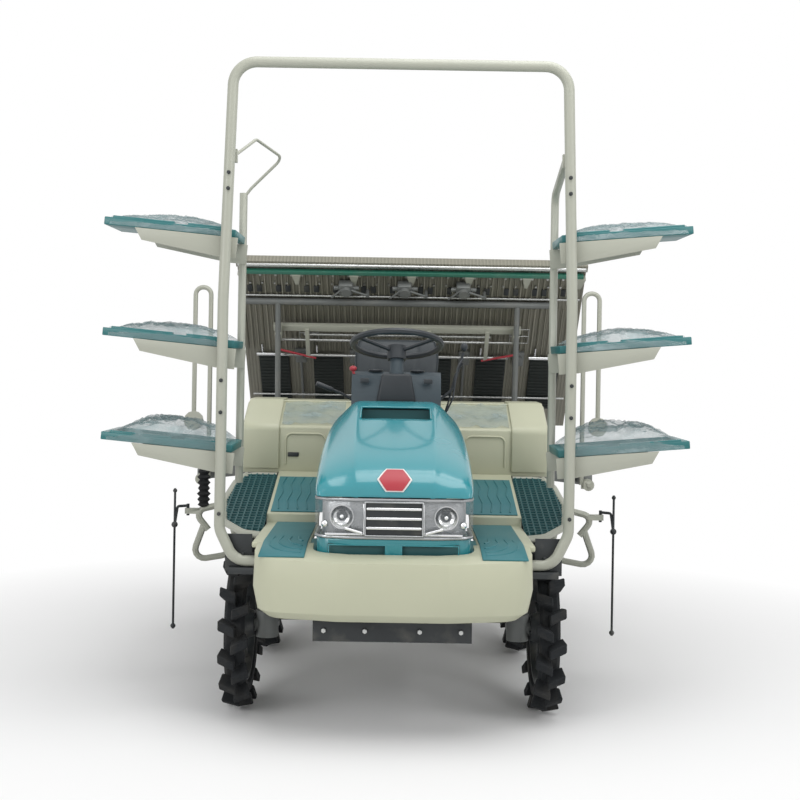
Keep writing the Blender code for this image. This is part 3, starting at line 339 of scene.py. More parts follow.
CHROME = bright("chrome", (0.80, 0.81, 0.82), 0.12)
STEEL = bright("zinc_plated_steel", (0.50, 0.51, 0.50), 0.28)
BEZEL = bright("satin_lamp_bezel", (0.40, 0.41, 0.42), 0.35)
GLASS = clear("lamp_cover_glass", (0.42, 0.45, 0.47), 0.05, 0.14, 6.0, 0.05, 0.05)
FILM = clear("packing_film", (0.27, 0.36, 0.37), 0.22, 0.80, 7.0, 0.20, 0.55)

# %% [markdown]
# ## Pressed sheet with ribs
#
# The seedling table is thin sheet pressed with narrow ribs that run down its slope. The ribs repeat across
# the machine, so a wave texture along x makes them, as a bump that catches the light. The same wave paints
# their crests lighter in colour, a painted highlight.

# %% Ribbed sheet
def ribbed(name, colour, pitch):
    finish = Finish(name, colour, 0.5, 0.25)
    waves = finish.node(
        "ShaderNodeTexWave", {"wave_type": "BANDS", "bands_direction": "X"},
        {"Vector": finish.place, "Scale": 0.314 / pitch, "Distortion": 0.0}, "Fac",
    )
    patches = finish.band(finish.noise(7.0, 5.0), 0.45, 0.75)
    # painted highlight: the wave makes the colour up to half as light again on the rib crests, where the bump
    # is highest
    shade = finish.mix(waves * 0.45, colour, [value * 1.5 for value in colour])
    finish.set("Base Color", finish.mix(patches * 0.25, shade, (0.30, 0.27, 0.21)))
    finish.bump(waves, 0.7, 0.004)
    return finish.material


SHEET = ribbed("olive_pressed_sheet", (0.21, 0.205, 0.165), 0.018)
print("materials", len(bpy.data.materials))

# %% [markdown]
# ## A small set of hand tools
#
# Most pieces start from a primitive that is added at its size and place: a block with its edges bevelled, a
# bar between two points, a tube along a line, or a profile turned about an axis. Each tool leaves its piece
# at the origin with its place in its mesh, because that is where the materials expect it.

# %% Blocks and bars
def alone(piece):
    """Select this piece and nothing else."""
    bpy.ops.object.select_all(action="DESELECT")
    piece.select_set(True)
    bpy.context.view_layer.objects.active = piece


def use_modifier(piece, kind, **settings):
    alone(piece)
    modifier = piece.modifiers.new(kind.lower(), kind)
    for key, value in settings.items():
        setattr(modifier, key, value)
    bpy.ops.object.modifier_apply(modifier=modifier.name)


def soften(piece, width, segments=2, angle=30.0):
    """Round the sharp edges and shade the rest smoothly."""
    if width:
        use_modifier(
            piece, "BEVEL", width=width, segments=segments, limit_method="ANGLE",
            angle_limit=math.radians(angle), use_clamp_overlap=True, harden_normals=False,
        )
    alone(piece)
    bpy.ops.object.shade_smooth_by_angle(angle=math.radians(40.0))
    return piece


def block(name, low, high, edge=0.003, segments=2):
    low, high = Vector(low), Vector(high)
    bpy.ops.object.select_all(action="DESELECT")
    bpy.ops.mesh.primitive_cube_add(size=1.0, location=(low + high) / 2)
    piece = bpy.context.object
    piece.name = name
    piece.scale = high - low
    bpy.ops.object.transform_apply(location=True, rotation=True, scale=True)
    return soften(piece, edge, segments)


def bar(name, start, end, radius, sides=20, edge=0.0, tip=None):
    """A round bar, or with `tip` a tapered one."""
    start, end = Vector(start), Vector(end)
    bpy.ops.object.select_all(action="DESELECT")
    bpy.ops.mesh.primitive_cone_add(
        vertices=sides, radius1=radius, radius2=radius if tip is None else tip,
        depth=(end - start).length, location=(start + end) / 2,
        rotation=(end - start).to_track_quat("Z", "Y").to_euler(),
    )
    piece = bpy.context.object
    piece.name = name
    bpy.ops.object.transform_apply(location=True, rotation=True, scale=True)
    return soften(piece, edge, 2)


def ball(name, centre, radius, squash=(1.0, 1.0, 1.0)):
    bpy.ops.object.select_all(action="DESELECT")
    bpy.ops.mesh.primitive_uv_sphere_add(segments=20, ring_count=12, radius=radius, location=centre)
    piece = bpy.context.object
    piece.name = name
    piece.scale = squash
    bpy.ops.object.transform_apply(location=True, rotation=True, scale=True)
    bpy.ops.object.shade_smooth()
    return piece


def join(name, pieces):
    bpy.ops.object.select_all(action="DESELECT")
    for piece in pieces:
        piece.select_set(True)
    bpy.context.view_layer.objects.active = pieces[0]
    bpy.ops.object.join()
    pieces[0].name = name
    return pieces[0]


def copy_of(piece, matrix):
    """A copy with its own mesh, moved by `matrix`."""
    twin = piece.copy()
    twin.data = piece.data.copy()
    bpy.context.collection.objects.link(twin)
    twin.data.transform(matrix)
    if matrix.determinant() < 0:
        twin.data.flip_normals()
    return twin


MIRROR = Matrix.Diagonal((-1.0, 1.0, 1.0, 1.0))

# %% Tubes and turned profiles
def curved(path, bend, turns=8):
    """The corners of `path` replaced by arcs."""
    points = [Vector(p) for p in path]
    result = [points[0]]
    for before, corner, after in zip(points, points[1:], points[2:]):
        back, ahead = (before - corner).normalized(), (after - corner).normalized()
        angle = back.angle(ahead)
        if bend <= 0 or math.pi - angle < 0.02:
            result.append(corner)
            continue
        reach = min(
            bend / math.tan(angle / 2), (before - corner).length * 0.48, (after - corner).length * 0.48
        )
        radius = reach * math.tan(angle / 2)
        centre = corner + (back + ahead).normalized() * radius / math.sin(angle / 2)
        first = (corner + back * reach - centre).normalized()
        last = (corner + ahead * reach - centre).normalized()
        result += [centre + first.slerp(last, step / turns) * radius for step in range(turns + 1)]
    result.append(points[-1])
    return result


def tube(name, path, radius, bend=0.0, sides=5, closed=False):
    line = bpy.data.curves.new(name, "CURVE")
    line.dimensions = "3D"
    line.bevel_depth = radius
    line.bevel_resolution = sides
    line.use_fill_caps = True
    points = curved(path, bend)
    spline = line.splines.new("POLY")
    spline.points.add(len(points) - 1)
    for knot, point in zip(spline.points, points):
        knot.co = (*point, 1.0)
    spline.use_cyclic_u = closed
    piece = bpy.data.objects.new(name, line)
    bpy.context.collection.objects.link(piece)
    alone(piece)
    bpy.ops.object.convert(target="MESH")
    piece = bpy.context.object
    bpy.ops.object.mode_set(mode="EDIT")
    bpy.ops.mesh.select_all(action="SELECT")
    bpy.ops.mesh.remove_doubles(threshold=1e-6)
    bpy.ops.mesh.normals_make_consistent(inside=False)
    bpy.ops.object.mode_set(mode="OBJECT")
    bpy.ops.object.shade_smooth_by_angle(angle=math.radians(50.0))
    return piece


def turned(name, profile, centre, axis="X", steps=48):
    """A closed profile of (along, radius) points, spun about an axis through `centre`."""
    mesh = bpy.data.meshes.new(name)
    points = [(along, 0.0, radius) if axis == "X" else (radius, 0.0, along) for along, radius in profile]
    count = len(points)
    mesh.from_pydata(points, [(i, (i + 1) % count) for i in range(count)], [])
    piece = bpy.data.objects.new(name, mesh)
    bpy.context.collection.objects.link(piece)
    alone(piece)
    bpy.ops.object.mode_set(mode="EDIT")
    bpy.ops.mesh.select_all(action="SELECT")
    about = (1, 0, 0) if axis == "X" else (0, 0, 1)
    bpy.ops.mesh.spin(steps=steps, angle=math.tau, center=(0, 0, 0), axis=about, use_auto_merge=True)
    bpy.ops.mesh.select_all(action="SELECT")
    bpy.ops.mesh.remove_doubles(threshold=1e-5)
    bpy.ops.mesh.normals_make_consistent(inside=False)
    bpy.ops.object.mode_set(mode="OBJECT")
    piece.data.transform(Matrix.Translation(centre))
    bpy.ops.object.shade_smooth_by_angle(angle=math.radians(40.0))
    return piece


# %% [markdown]
# ## Dressing a piece
#
# Each piece gets its material and the body that carries it, and the plain solids that it stands for are
# hidden. Solids whose shape is already right keep it, but their knife-sharp edges give them away, so a
# merged copy with its edges rounded takes their place.

# %% Dress and round off
def dress(piece, body, material, slot, *stands_for):
    piece.data.materials.clear()
    piece.data.materials.append(material)
    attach(piece, body)
    if stands_for:
        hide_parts(*stands_for)
    return piece


def merged_copy(node, name):
    """The node's loose triangles, joined up and with their flat faces made whole."""
    source = nodes[node]
    piece = bpy.data.objects.new(name, source.data.copy())
    bpy.context.collection.objects.link(piece)
    alone(piece)
    bpy.ops.object.mode_set(mode="EDIT")
    bpy.ops.mesh.select_all(action="SELECT")
    bpy.ops.mesh.remove_doubles(threshold=1e-5)
    bpy.ops.mesh.dissolve_limited(angle_limit=math.radians(1.0))
    bpy.ops.object.mode_set(mode="OBJECT")
    return piece


def round_off(node, body, material, slot, edge=0.002, segments=2, angle=35.0):
    piece = merged_copy(node, node + "_rounded")
    soften(piece, edge, segments, angle)
    return dress(piece, body, material, slot, node)


# the solids whose own shape stays: node, body, finish, slot, width of the rounded edge
KEPT_SHAPES = [
    ("chassis_frame", "machine", BLACK, "black_steel", 0.003),
    ("engine_block", "machine", CAST, "cast_grey", 0.006),
    ("transmission_case", "machine", CAST, "cast_grey", 0.008),
    ("front_axle", "machine", CAST, "cast_grey", 0.004),
    ("rear_axle", "machine", CAST, "cast_grey", 0.004),
    ("tie_rod", "tie_rod_body", BLACK, "black_steel", 0.001),
    ("front_bumper", "machine", CREAM, "cream_panel", 0.007),
    ("floor_deck", "machine", CREAM, "cream_panel", 0.006),
    ("rear_fender", "machine", CREAM, "cream_panel", 0.007),
    ("nose_panel", "machine", TEAL, "teal_gloss", 0.004),
    ("dash_console", "machine", DASH, "grey_seat", 0.016),
    ("steering_wheel", "steering_wheel_body", GRIP, "wheel_grip", 0.0),
    ("lower_link", "lower_link_body", BLACK, "black_steel", 0.001),
    ("upper_link", "upper_link_body", BLACK, "black_steel", 0.001),
    ("planter_frame", "planter", CAST, "cast_grey", 0.002),
]
for label, _ in SIDES:
    KEPT_SHAPES += [
        ("front_knuckle_" + label, "knuckle_" + label, CAST, "cast_grey", 0.002),
        ("rack_frame_" + label, "machine", TUBE, "tube_paint", 0.0015),
        ("side_frame_" + label, "machine", TUBE, "tube_paint", 0.0),
        ("side_marker_" + label, f"side_marker_{label}_body", BLACK, "black_steel", 0.0),
        ("line_marker_" + label, f"line_marker_{label}_body", TUBE, "tube_paint", 0.0),
    ]
for label in ("right", "center", "left"):
    KEPT_SHAPES.append(("float_" + label, "planter", FLOAT, "float_black", 0.006))
    KEPT_SHAPES.append(("planting_rotor_" + label, "rotor_" + label, CAST, "cast_grey", 0.002))
for node, body, material, slot, edge in KEPT_SHAPES:
    round_off(node, body, material, slot, edge)
print("rounded", len(KEPT_SHAPES), "solids")

# %% [markdown]
# ## The floor under it
#
# One large pale plane catches the shadow. It turns white for the camera away from the machine, so that no
# horizon shows.

# %% Floor
bpy.ops.mesh.primitive_plane_add(size=30.0, location=(0.0, 0.0, -0.0005))
floor = bpy.context.object
floor.name = "ground"
ground = Finish("pale_ground", (0.86, 0.86, 0.86), 0.9)
distance = ground.node("ShaderNodeVectorMath", {"operation": "LENGTH"}, {0: ground.place}, "Value")
edge_glow = ground.band(distance, 1.2, 3.2, 0.0, 1.0)
glow = ground.tree.nodes.new("ShaderNodeEmission")
blend = ground.tree.nodes.new("ShaderNodeMixShader")
camera_ray = ground.node("ShaderNodeLightPath", {}, {}, "Is Camera Ray")
ground.tree.links.new((edge_glow * camera_ray).socket, blend.inputs[0])
ground.tree.links.new(ground.shader.outputs[0], blend.inputs[1])
ground.tree.links.new(glow.outputs[0], blend.inputs[2])
ground.tree.links.new(blend.outputs[0], ground.tree.nodes["Material Output"].inputs["Surface"])
floor.data.materials.append(ground.material)

# %% [markdown]
# ## Wheels for mud
#
# A paddy wheel is a narrow rubber tyre on a spoked rim, with tall lugs that step out to the left and right in
# turn. One lug is a tapered block. It is copied round the tyre, and its mirror image fills the gaps, half a
# step further round. All four wheels come from this one recipe, with the lug size and count of each axle.

# %% Lugged wheels
def lug(name, radius, depth, half_width, length):
    """One lug of the left side, standing on the top of the wheel, skewed like a chevron."""
    low = (-half_width * 0.12, -length / 2, radius - depth)
    piece = block(name, low, (half_width, length / 2, radius), 0.0)
    for corner in piece.data.vertices:
        outer = corner.co.x > half_width * 0.5
        top = corner.co.z > radius - depth / 2
        corner.co.y += length * (0.55 if outer else -0.15)
        if top:
            corner.co.y = corner.co.y * 0.80
        if top and outer:
            corner.co.z -= depth * 0.22
        if not top and outer:
            corner.co.x -= half_width * 0.22
    return soften(piece, 0.004, 1)


def wheel(node, body, count, depth, rim_depth, spokes):
    low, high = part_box(node)
    centre, radius, half = (low + high) / 2, (high.z - low.z) / 2, (high.x - low.x) / 2
    tread = radius - depth
    profile = (
        (-half * 0.30, tread - rim_depth), (-half * 0.62, tread - rim_depth * 0.75),
        (-half * 0.66, tread - 0.012), (-half * 0.45, tread), (half * 0.45, tread),
        (half * 0.66, tread - 0.012), (half * 0.62, tread - rim_depth * 0.75),
        (half * 0.30, tread - rim_depth),
    )
    pieces = [turned("tyre", profile, (0, 0, 0), steps=72)]
    first = lug("lug", radius - 0.001, depth + 0.006, half * 0.98, math.tau * radius / count * 0.34)
    for index in range(count):
        turn = Matrix.Rotation(math.tau * index / count, 4, "X")
        pieces.append(copy_of(first, turn))
        half_step = Matrix.Rotation(math.tau * (index + 0.5) / count, 4, "X")
        pieces.append(copy_of(first, half_step @ MIRROR))
    bpy.data.objects.remove(first)
    tyre = join(node + "_tyre", pieces)
    tyre.data.transform(Matrix.Translation(centre))
    dress(tyre, body, TYRE, "tyre", node)

    rim_low = tread - rim_depth
    rim = (
        (-half * 0.5, rim_low + 0.002), (-half * 0.5, rim_low - 0.012), (-half * 0.3, rim_low - 0.022),
        (half * 0.3, rim_low - 0.022), (half * 0.5, rim_low - 0.012), (half * 0.5, rim_low + 0.002),
    )
    steel = [turned("rim", rim, (0, 0, 0), steps=72)]
    steel.append(turned("hub", ((-0.05, 0.028), (-0.05, 0.05), (-0.02, 0.062), (0.02, 0.062), (0.05, 0.05),
                                (0.05, 0.028)), (0, 0, 0), steps=40))
    spoke = bar("spoke", (0.0, 0.0, 0.045), (0.0, 0.0, rim_low - 0.014), 0.013, 16, tip=0.011)
    bolt = bar("bolt", (0.046, 0.0, 0.039), (0.056, 0.0, 0.039), 0.007, 6, 0.001)
    other_bolt = copy_of(bolt, MIRROR)
    for index in range(spokes):
        turn = Matrix.Rotation(math.tau * index / spokes, 4, "X")
        between = Matrix.Rotation(math.tau * (index + 0.5) / spokes, 4, "X")
        steel.append(copy_of(spoke, turn))
        steel += [copy_of(bolt, between), copy_of(other_bolt, between)]
    for used in (spoke, bolt, other_bolt):
        bpy.data.objects.remove(used)
    disc = join(node + "_spokes", steel)
    disc.data.transform(Matrix.Translation(centre))
    dress(disc, body, BLACK, "tyre")


for label, _ in SIDES:
    wheel("front_wheel_" + label, f"front_wheel_{label}_body", 15, 0.052, 0.055, 5)
    wheel("rear_wheel_" + label, f"rear_wheel_{label}_body", 18, 0.075, 0.045, 6)

# %% [markdown]
# ## The hood
#
# The hood is one moulded shell. It bulges from the lamps up towards the dash, with flatter cheeks at its
# sides and a raised middle that ends in an air scoop. It is drawn as a grid of points, station by station
# from the front to the rear, then subdivided, which is how a moulded shell is best made smooth. Its edge is
# thickened inwards, and the scoop is a real opening with a duct under it, coloured a darker teal than the
# hood as painted shade.

# %% Hood shell
HOOD_LOW, HOOD_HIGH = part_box("hood")
SCOOP_HALF = 0.142
SCOOP_FRONT, SCOOP_REAR = aft(0.035), aft(0.165)
HOOD_STATIONS = (
    # behind the axle, half width at foot, at shoulder, of the raised middle, heights of shoulder and crown
    (-0.476, 0.270, 0.262, 0.150, 0.906, 0.914),
    (-0.468, 0.282, 0.274, 0.155, 0.928, 0.942),
    (-0.430, 0.291, 0.282, 0.160, 0.955, 0.985),
    (-0.330, 0.2965, 0.285, 0.165, 0.995, 1.032),
    (-0.200, 0.298, 0.286, 0.168, 1.030, 1.075),
    (-0.080, 0.298, 0.284, 0.170, 1.062, 1.111),
    (0.035, 0.297, 0.277, 0.171, 1.096, 1.147),
    (0.100, 0.295, 0.270, 0.171, 1.115, 1.168),
    (0.165, 0.292, 0.262, 0.171, 1.132, 1.187),
    (0.225, 0.288, 0.248, 0.170, 1.148, 1.204),
    (0.279, 0.284, 0.232, 0.168, 1.160, 1.212),
)


def hood_row(station):
    behind, foot, shoulder, crown_half, shoulder_z, crown_z = station
    bottom = HOOD_LOW.z + 0.004
    half_row = [
        (foot, bottom), (foot + 0.001, (bottom * 2 + shoulder_z) / 3),
        (shoulder + 0.004, (bottom + shoulder_z * 2) / 3),
        (shoulder, shoulder_z - 0.012), (shoulder - 0.022, shoulder_z + 0.006),
        ((shoulder + crown_half) / 2, (shoulder_z + crown_z) / 2 - 0.004),
        (crown_half + 0.012, crown_z - 0.010), (crown_half - 0.012, crown_z),
        (SCOOP_HALF, crown_z + 0.001), (SCOOP_HALF * 0.45, crown_z + 0.003),
    ]
    row = [(-x, z) for x, z in half_row] + [(0.0, crown_z + 0.003)] + [(x, z) for x, z in reversed(half_row)]
    return [(x, aft(behind), min(z, HOOD_HIGH.z - 0.001)) for x, z in row]


def grid_piece(name, rows, skip=lambda row, column: False):
    """A sheet of faces through rows of points."""
    width = len(rows[0])
    points = [point for row in rows for point in row]
    faces = []
    for r in range(len(rows) - 1):
        for c in range(width - 1):
            if not skip(r, c):
                a = r * width + c
                faces.append((a, a + 1, a + 1 + width, a + width))
    mesh = bpy.data.meshes.new(name)
    mesh.from_pydata(points, [], faces)
    piece = bpy.data.objects.new(name, mesh)
    bpy.context.collection.objects.link(piece)
    return piece


def face_outwards(piece):
    alone(piece)
    bpy.ops.object.mode_set(mode="EDIT")
    bpy.ops.mesh.select_all(action="SELECT")
    bpy.ops.mesh.delete_loose()
    bpy.ops.mesh.select_all(action="SELECT")
    bpy.ops.mesh.normals_make_consistent(inside=False)
    bpy.ops.object.mode_set(mode="OBJECT")


rows = [hood_row(station) for station in HOOD_STATIONS]
front_row = [(x * 0.985, y - 0.001, HOOD_LOW.z + 0.003) for x, y, z in rows[0]]
rows.insert(0, front_row)
middle_column = len(rows[0]) // 2
hood = grid_piece("hood_shell", rows, lambda r, c: 7 <= r <= 8 and middle_column - 2 <= c < middle_column + 2)
face_outwards(hood)
if hood.data.polygons[len(hood.data.polygons) // 2].normal.z < 0:
    hood.data.flip_normals()
use_modifier(hood, "SOLIDIFY", thickness=0.006, offset=-1.0)
crease = hood.data.attributes.new("crease_edge", "FLOAT", "EDGE")
for edge in hood.data.edges:
    a, b = (hood.data.vertices[index].co for index in edge.vertices)
    at_scoop = all(
        abs(p.x) <= SCOOP_HALF + 0.001 and SCOOP_FRONT - 0.01 < p.y < SCOOP_REAR + 0.01 for p in (a, b)
    )
    on_ridge = all(
        SCOOP_HALF + 0.005 < abs(p.x) < 0.19 and p.z > 1.0 for p in (a, b)
    ) and abs(a.y - b.y) > 0.03
    at_foot = a.z < HOOD_LOW.z + 0.01 and b.z < HOOD_LOW.z + 0.01
    crease.data[edge.index].value = 0.85 if at_scoop or at_foot else (0.8 if on_ridge else 0.0)
use_modifier(hood, "SUBSURF", levels=2, render_levels=2)
bpy.ops.object.shade_smooth()
dress(hood, "hood_lid", TEAL, "teal_gloss", "hood")

# %% [markdown]
# The scoop's duct is a shallow tray under the opening, its floor sloping down to the front, and a lip round
# its rear edge. A plain enamel plate with a white rim sits above the lamps, with nothing written on it.

# %% Scoop duct and hood plate
DUCT_FLOOR = 1.088            # heights of the duct: its floor, and its brim at both ends
DUCT_BRIM_FRONT, DUCT_BRIM_REAR = 1.137, 1.179
# painted shade: the duct takes the darker step teal, not the hood's, so the inside of the scoop reads dark
duct = block(
    "scoop_duct", (-SCOOP_HALF - 0.004, SCOOP_FRONT - 0.004, DUCT_FLOOR),
    (SCOOP_HALF + 0.004, SCOOP_REAR + 0.012, DUCT_BRIM_REAR - 0.003), 0.0
)
for corner in duct.data.vertices:
    if corner.co.z > (DUCT_FLOOR + DUCT_BRIM_REAR) / 2:
        corner.co.z = DUCT_BRIM_FRONT if corner.co.y < SCOOP_FRONT + 0.02 else DUCT_BRIM_REAR
alone(duct)
bpy.ops.object.mode_set(mode="EDIT")
bpy.ops.mesh.select_all(action="DESELECT")
bpy.ops.object.mode_set(mode="OBJECT")
for face in duct.data.polygons:
    face.select = face.normal.z > 0.7
bpy.ops.object.mode_set(mode="EDIT")
bpy.ops.mesh.delete(type="FACE")
bpy.ops.object.mode_set(mode="OBJECT")
use_modifier(duct, "SOLIDIFY", thickness=0.003, offset=1.0)
dress(duct, "hood_lid", TEAL_STEP, "teal_gloss")

LIP_FRONT, LIP_REAR = 1.149, 1.189
lip_path = (
    (-SCOOP_HALF, SCOOP_FRONT, LIP_FRONT), (-SCOOP_HALF, SCOOP_REAR, LIP_REAR),
    (SCOOP_HALF, SCOOP_REAR, LIP_REAR), (SCOOP_HALF, SCOOP_FRONT, LIP_FRONT),
)
dress(tube("scoop_lip", lip_path, 0.004, 0.012), "hood_lid", TEAL, "teal_gloss")


def plate(name, size, lift, thickness):
    """A six-sided plate that follows the curve of the hood's front."""
    corners = [
        (math.cos(math.tau * k / 6) * size, math.sin(math.tau * k / 6) * size * 0.95, 0.0) for k in range(6)
    ]
    mesh = bpy.data.meshes.new(name)
    mesh.from_pydata([(0.0, 0.0, 0.0)] + corners, [], [(0, k + 1, (k + 1) % 6 + 1) for k in range(6)])
    piece = bpy.data.objects.new(name, mesh)
    bpy.context.collection.objects.link(piece)
    alone(piece)
    bpy.ops.object.mode_set(mode="EDIT")
    bpy.ops.mesh.select_all(action="SELECT")
    bpy.ops.mesh.subdivide(number_cuts=9)
    bpy.ops.object.mode_set(mode="OBJECT")
    piece.data.transform(PLATE_PLACE)
    use_modifier(
        piece, "SHRINKWRAP", target=hood, wrap_method="NEAREST_SURFACEPOINT", wrap_mode="ABOVE_SURFACE",
        offset=lift
    )
    use_modifier(piece, "SOLIDIFY", thickness=thickness, offset=0.0)
    face_outwards(piece)
    bpy.ops.object.shade_smooth_by_angle(angle=math.radians(40.0))
    return piece


PLATE_PLACE = Matrix.Translation((0.0, aft(-0.462), 0.952)) @ Matrix.Rotation(math.radians(52), 4, "X")
dress(plate("hood_plate_rim", 0.064, 0.0022, 0.003), "hood_lid", WHITE, "teal_gloss")
dress(plate("hood_plate", 0.057, 0.0042, 0.003), "hood_lid", RED, "teal_gloss")
print("hood", len(hood.data.polygons), "faces")

# %% [markdown]
# ## Lamps and grille
#
# A band of clear plastic wraps round the nose. Behind it sit two reflector bowls with their bulbs, and
# between them a dark grille with three bright bars. The housing behind the cover is a copy of the nose's
# outline, and the cover itself is a thin clear shell in front of it.

# %% Lamp band
BAND_LOW, BAND_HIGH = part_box("lamp_panel")
BAND_FRONT = BAND_LOW.y
BAND_MID = (BAND_LOW.z + BAND_HIGH.z) / 2


def band_outline(inset):
    half, front = BAND_HIGH.x - inset, BAND_FRONT + inset
    path = (
        (-half, BAND_HIGH.y, 0), (-half, front + 0.03, 0), (-0.16, front, 0), (0.16, front, 0),
        (half, front + 0.03, 0), (half, BAND_HIGH.y, 0),
    )
    return [(p.x, p.y) for p in curved(path, 0.06 - inset * 0.5)]


def band(name, inset, low, high, thickness, material, slot, *stands_for):
    rows = [[(x, y, z) for x, y in band_outline(inset)] for z in (low, high)]
    piece = grid_piece(name, rows)
    face_outwards(piece)
    use_modifier(
        piece, "SOLIDIFY", thickness=thickness, offset=1.0 if piece.data.polygons[0].normal.x > 0 else -1.0
    )
    soften(piece, thickness * 0.35, 2)
    return dress(piece, "machine", material, slot, *stands_for)


band("lamp_housing", 0.030, BAND_LOW.z + 0.006, BAND_HIGH.z - 0.006, 0.006, BEZEL, "lamp", "lamp_panel")
band("lamp_top_trim", 0.002, BAND_HIGH.z - 0.012, BAND_HIGH.z, 0.014, BEZEL, "lamp")
band("lamp_bottom_trim", 0.002, BAND_LOW.z, BAND_LOW.z + 0.012, 0.014, BEZEL, "lamp")

GRILLE_HALF = 0.105
grille_back = block(
    "grille_back", (-GRILLE_HALF, BAND_FRONT - 0.0005, BAND_LOW.z + 0.012),
    (GRILLE_HALF, BAND_FRONT + 0.010, BAND_HIGH.z - 0.012)
)
dress(grille_back, "machine", BLACK, "lamp")
bars = []
for index in range(3):
    z = BAND_LOW.z + 0.042 + index * 0.035
    bars.append(block(f"grille_bar_{index}", (-GRILLE_HALF + 0.004, BAND_FRONT - 0.007, z - 0.0055),
                      (GRILLE_HALF - 0.004, BAND_FRONT + 0.002, z + 0.0055), 0.004, 3))
dress(join("grille_bars", bars), "machine", CHROME, "lamp")
frame_low, frame_high = BAND_LOW.z + 0.014, BAND_HIGH.z - 0.014
frame_path = [
    (side * GRILLE_HALF, BAND_FRONT - 0.002, z)
    for side, z in ((-1, frame_low), (1, frame_low), (1, frame_high), (-1, frame_high))
]
dress(tube("grille_frame", frame_path, 0.0045, 0.0, 3, closed=True), "machine", BEZEL, "lamp")

LAMP_X = 0.190
BULB_Z = BAND_MID + 0.006
BOWL = (
    # depth into the band and radius, along the outside of the bowl and back along its inside
    (0.006, 0.004), (0.022, 0.008), (0.020, 0.026), (0.012, 0.036), (0.000, 0.042), (-0.002, 0.044),
    (-0.002, 0.040), (0.008, 0.033), (0.016, 0.024), (0.018, 0.009), (0.002, 0.004),
)
SOCKET = ((-0.004, 0.001), (-0.004, 0.013), (0.004, 0.015), (0.008, 0.012), (0.004, 0.001))
FORWARD = Matrix.Rotation(math.radians(-90), 4, "X")          # turns a bowl's axis along the machine
for label, side in SIDES:
    x = side * LAMP_X
    face = BAND_FRONT + 0.007
    bowl = turned("bowl", BOWL, (0, 0, 0), axis="Z", steps=40)
    bowl.data.transform(Matrix.Translation((x, face, BULB_Z)) @ FORWARD)
    bulb = ball("bulb", (x, face + 0.010, BULB_Z), 0.009)
    small = ball("small_lamp", (x + side * 0.062, face + 0.008, BAND_MID - 0.02), 0.014)
    wedge = block("wedge", (x - side * 0.082 - 0.004, face - 0.002, BAND_LOW.z + 0.014),
                  (x - side * 0.082 + 0.004, face + 0.010, BAND_HIGH.z - 0.02), 0.002)
    inner, outer = sorted((x - side * 0.078, x + side * 0.06))
    shelf = block("shelf", (inner, face - 0.002, BAND_LOW.z + 0.014),
                  (outer, face + 0.012, BAND_LOW.z + 0.022), 0.002)
    strut = bar(
        "strut", (x - side * 0.012, face + 0.002, BAND_MID - 0.036),
        (x - side * 0.074, face, BAND_LOW.z + 0.022), 0.006, 12
    )
    dress(join("reflector_" + label, [bowl, bulb, small, wedge, shelf, strut]), "machine", CHROME, "lamp")
    socket = turned("socket", SOCKET, (0, 0, 0), "Z", 24)
    socket.data.transform(Matrix.Translation((x, face + 0.012, BULB_Z)) @ FORWARD)
    # painted shadow: a thin black strip inside the reflector bowl, above the bulb, joined to the socket
    dark = block(
        "lamp_shadow", (x - 0.024, face + 0.014, BAND_MID + 0.026),
        (x + 0.020, face + 0.018, BAND_MID + 0.034), 0.002
    )
    dress(join("lamp_socket_and_shadow_" + label, [socket, dark]), "machine", GRIP, "lamp")
band("lamp_cover", 0.0025, BAND_LOW.z + 0.010, BAND_HIGH.z - 0.010, 0.002, GLASS, "lamp")

# %% [markdown]
# The nose below the lamps has two shallow slots and a small hole for the starting handle. The slots get dark
# sheets just behind them, painted shade, so they read as openings with something behind them.

# %% Nose slots
NOSE_LOW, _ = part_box("nose_panel")
SLOT_LOW, SLOT_HIGH = 0.663, 0.713
for label, side in SIDES:
    inner, outer = sorted((side * 0.2865, side * 0.3195))
    sill = block("nose_sill_" + label, (inner, aft(-0.485), 0.640), (outer, aft(-0.205), 0.698), 0.003)
    for corner in sill.data.vertices:
        if corner.co.y < aft(-0.45) and corner.co.z > 0.67:
            corner.co.z -= 0.018
    dress(sill, "machine", TEAL_MAT, "teal_gloss")
    # painted shade: a dark teal sheet just behind each slot, so the slot reads as an opening
    inner, outer = sorted((side * 0.026, side * 0.240))
    slot_shade = block(
        "nose_slot_shade_" + label, (inner, NOSE_LOW.y + 0.014, SLOT_LOW - 0.003),
        (outer, NOSE_LOW.y + 0.019, SLOT_HIGH + 0.003), 0.002
    )
    dress(slot_shade, "machine", TEAL_STEP, "teal_gloss")
    inner, outer = inner + 0.004, outer - 0.004
    ring = [
        (x, NOSE_LOW.y + 0.001, z)
        for x, z in ((inner, SLOT_LOW), (outer, SLOT_LOW), (outer, SLOT_HIGH), (inner, SLOT_HIGH))
    ]
    rim = tube("nose_slot_rim_" + label, ring, 0.0025, 0.0, 3, closed=True)
    dress(rim, "machine", TEAL, "teal_gloss")

# %% [markdown]
# ## Mats, step grids and the seat deck
#
# The front mats are moulded rubber with a raised pattern of long curves. The outer steps are open plastic
# grids inside a tube: two sets of thin bars, cut to the outline of the step, over a thin pan.

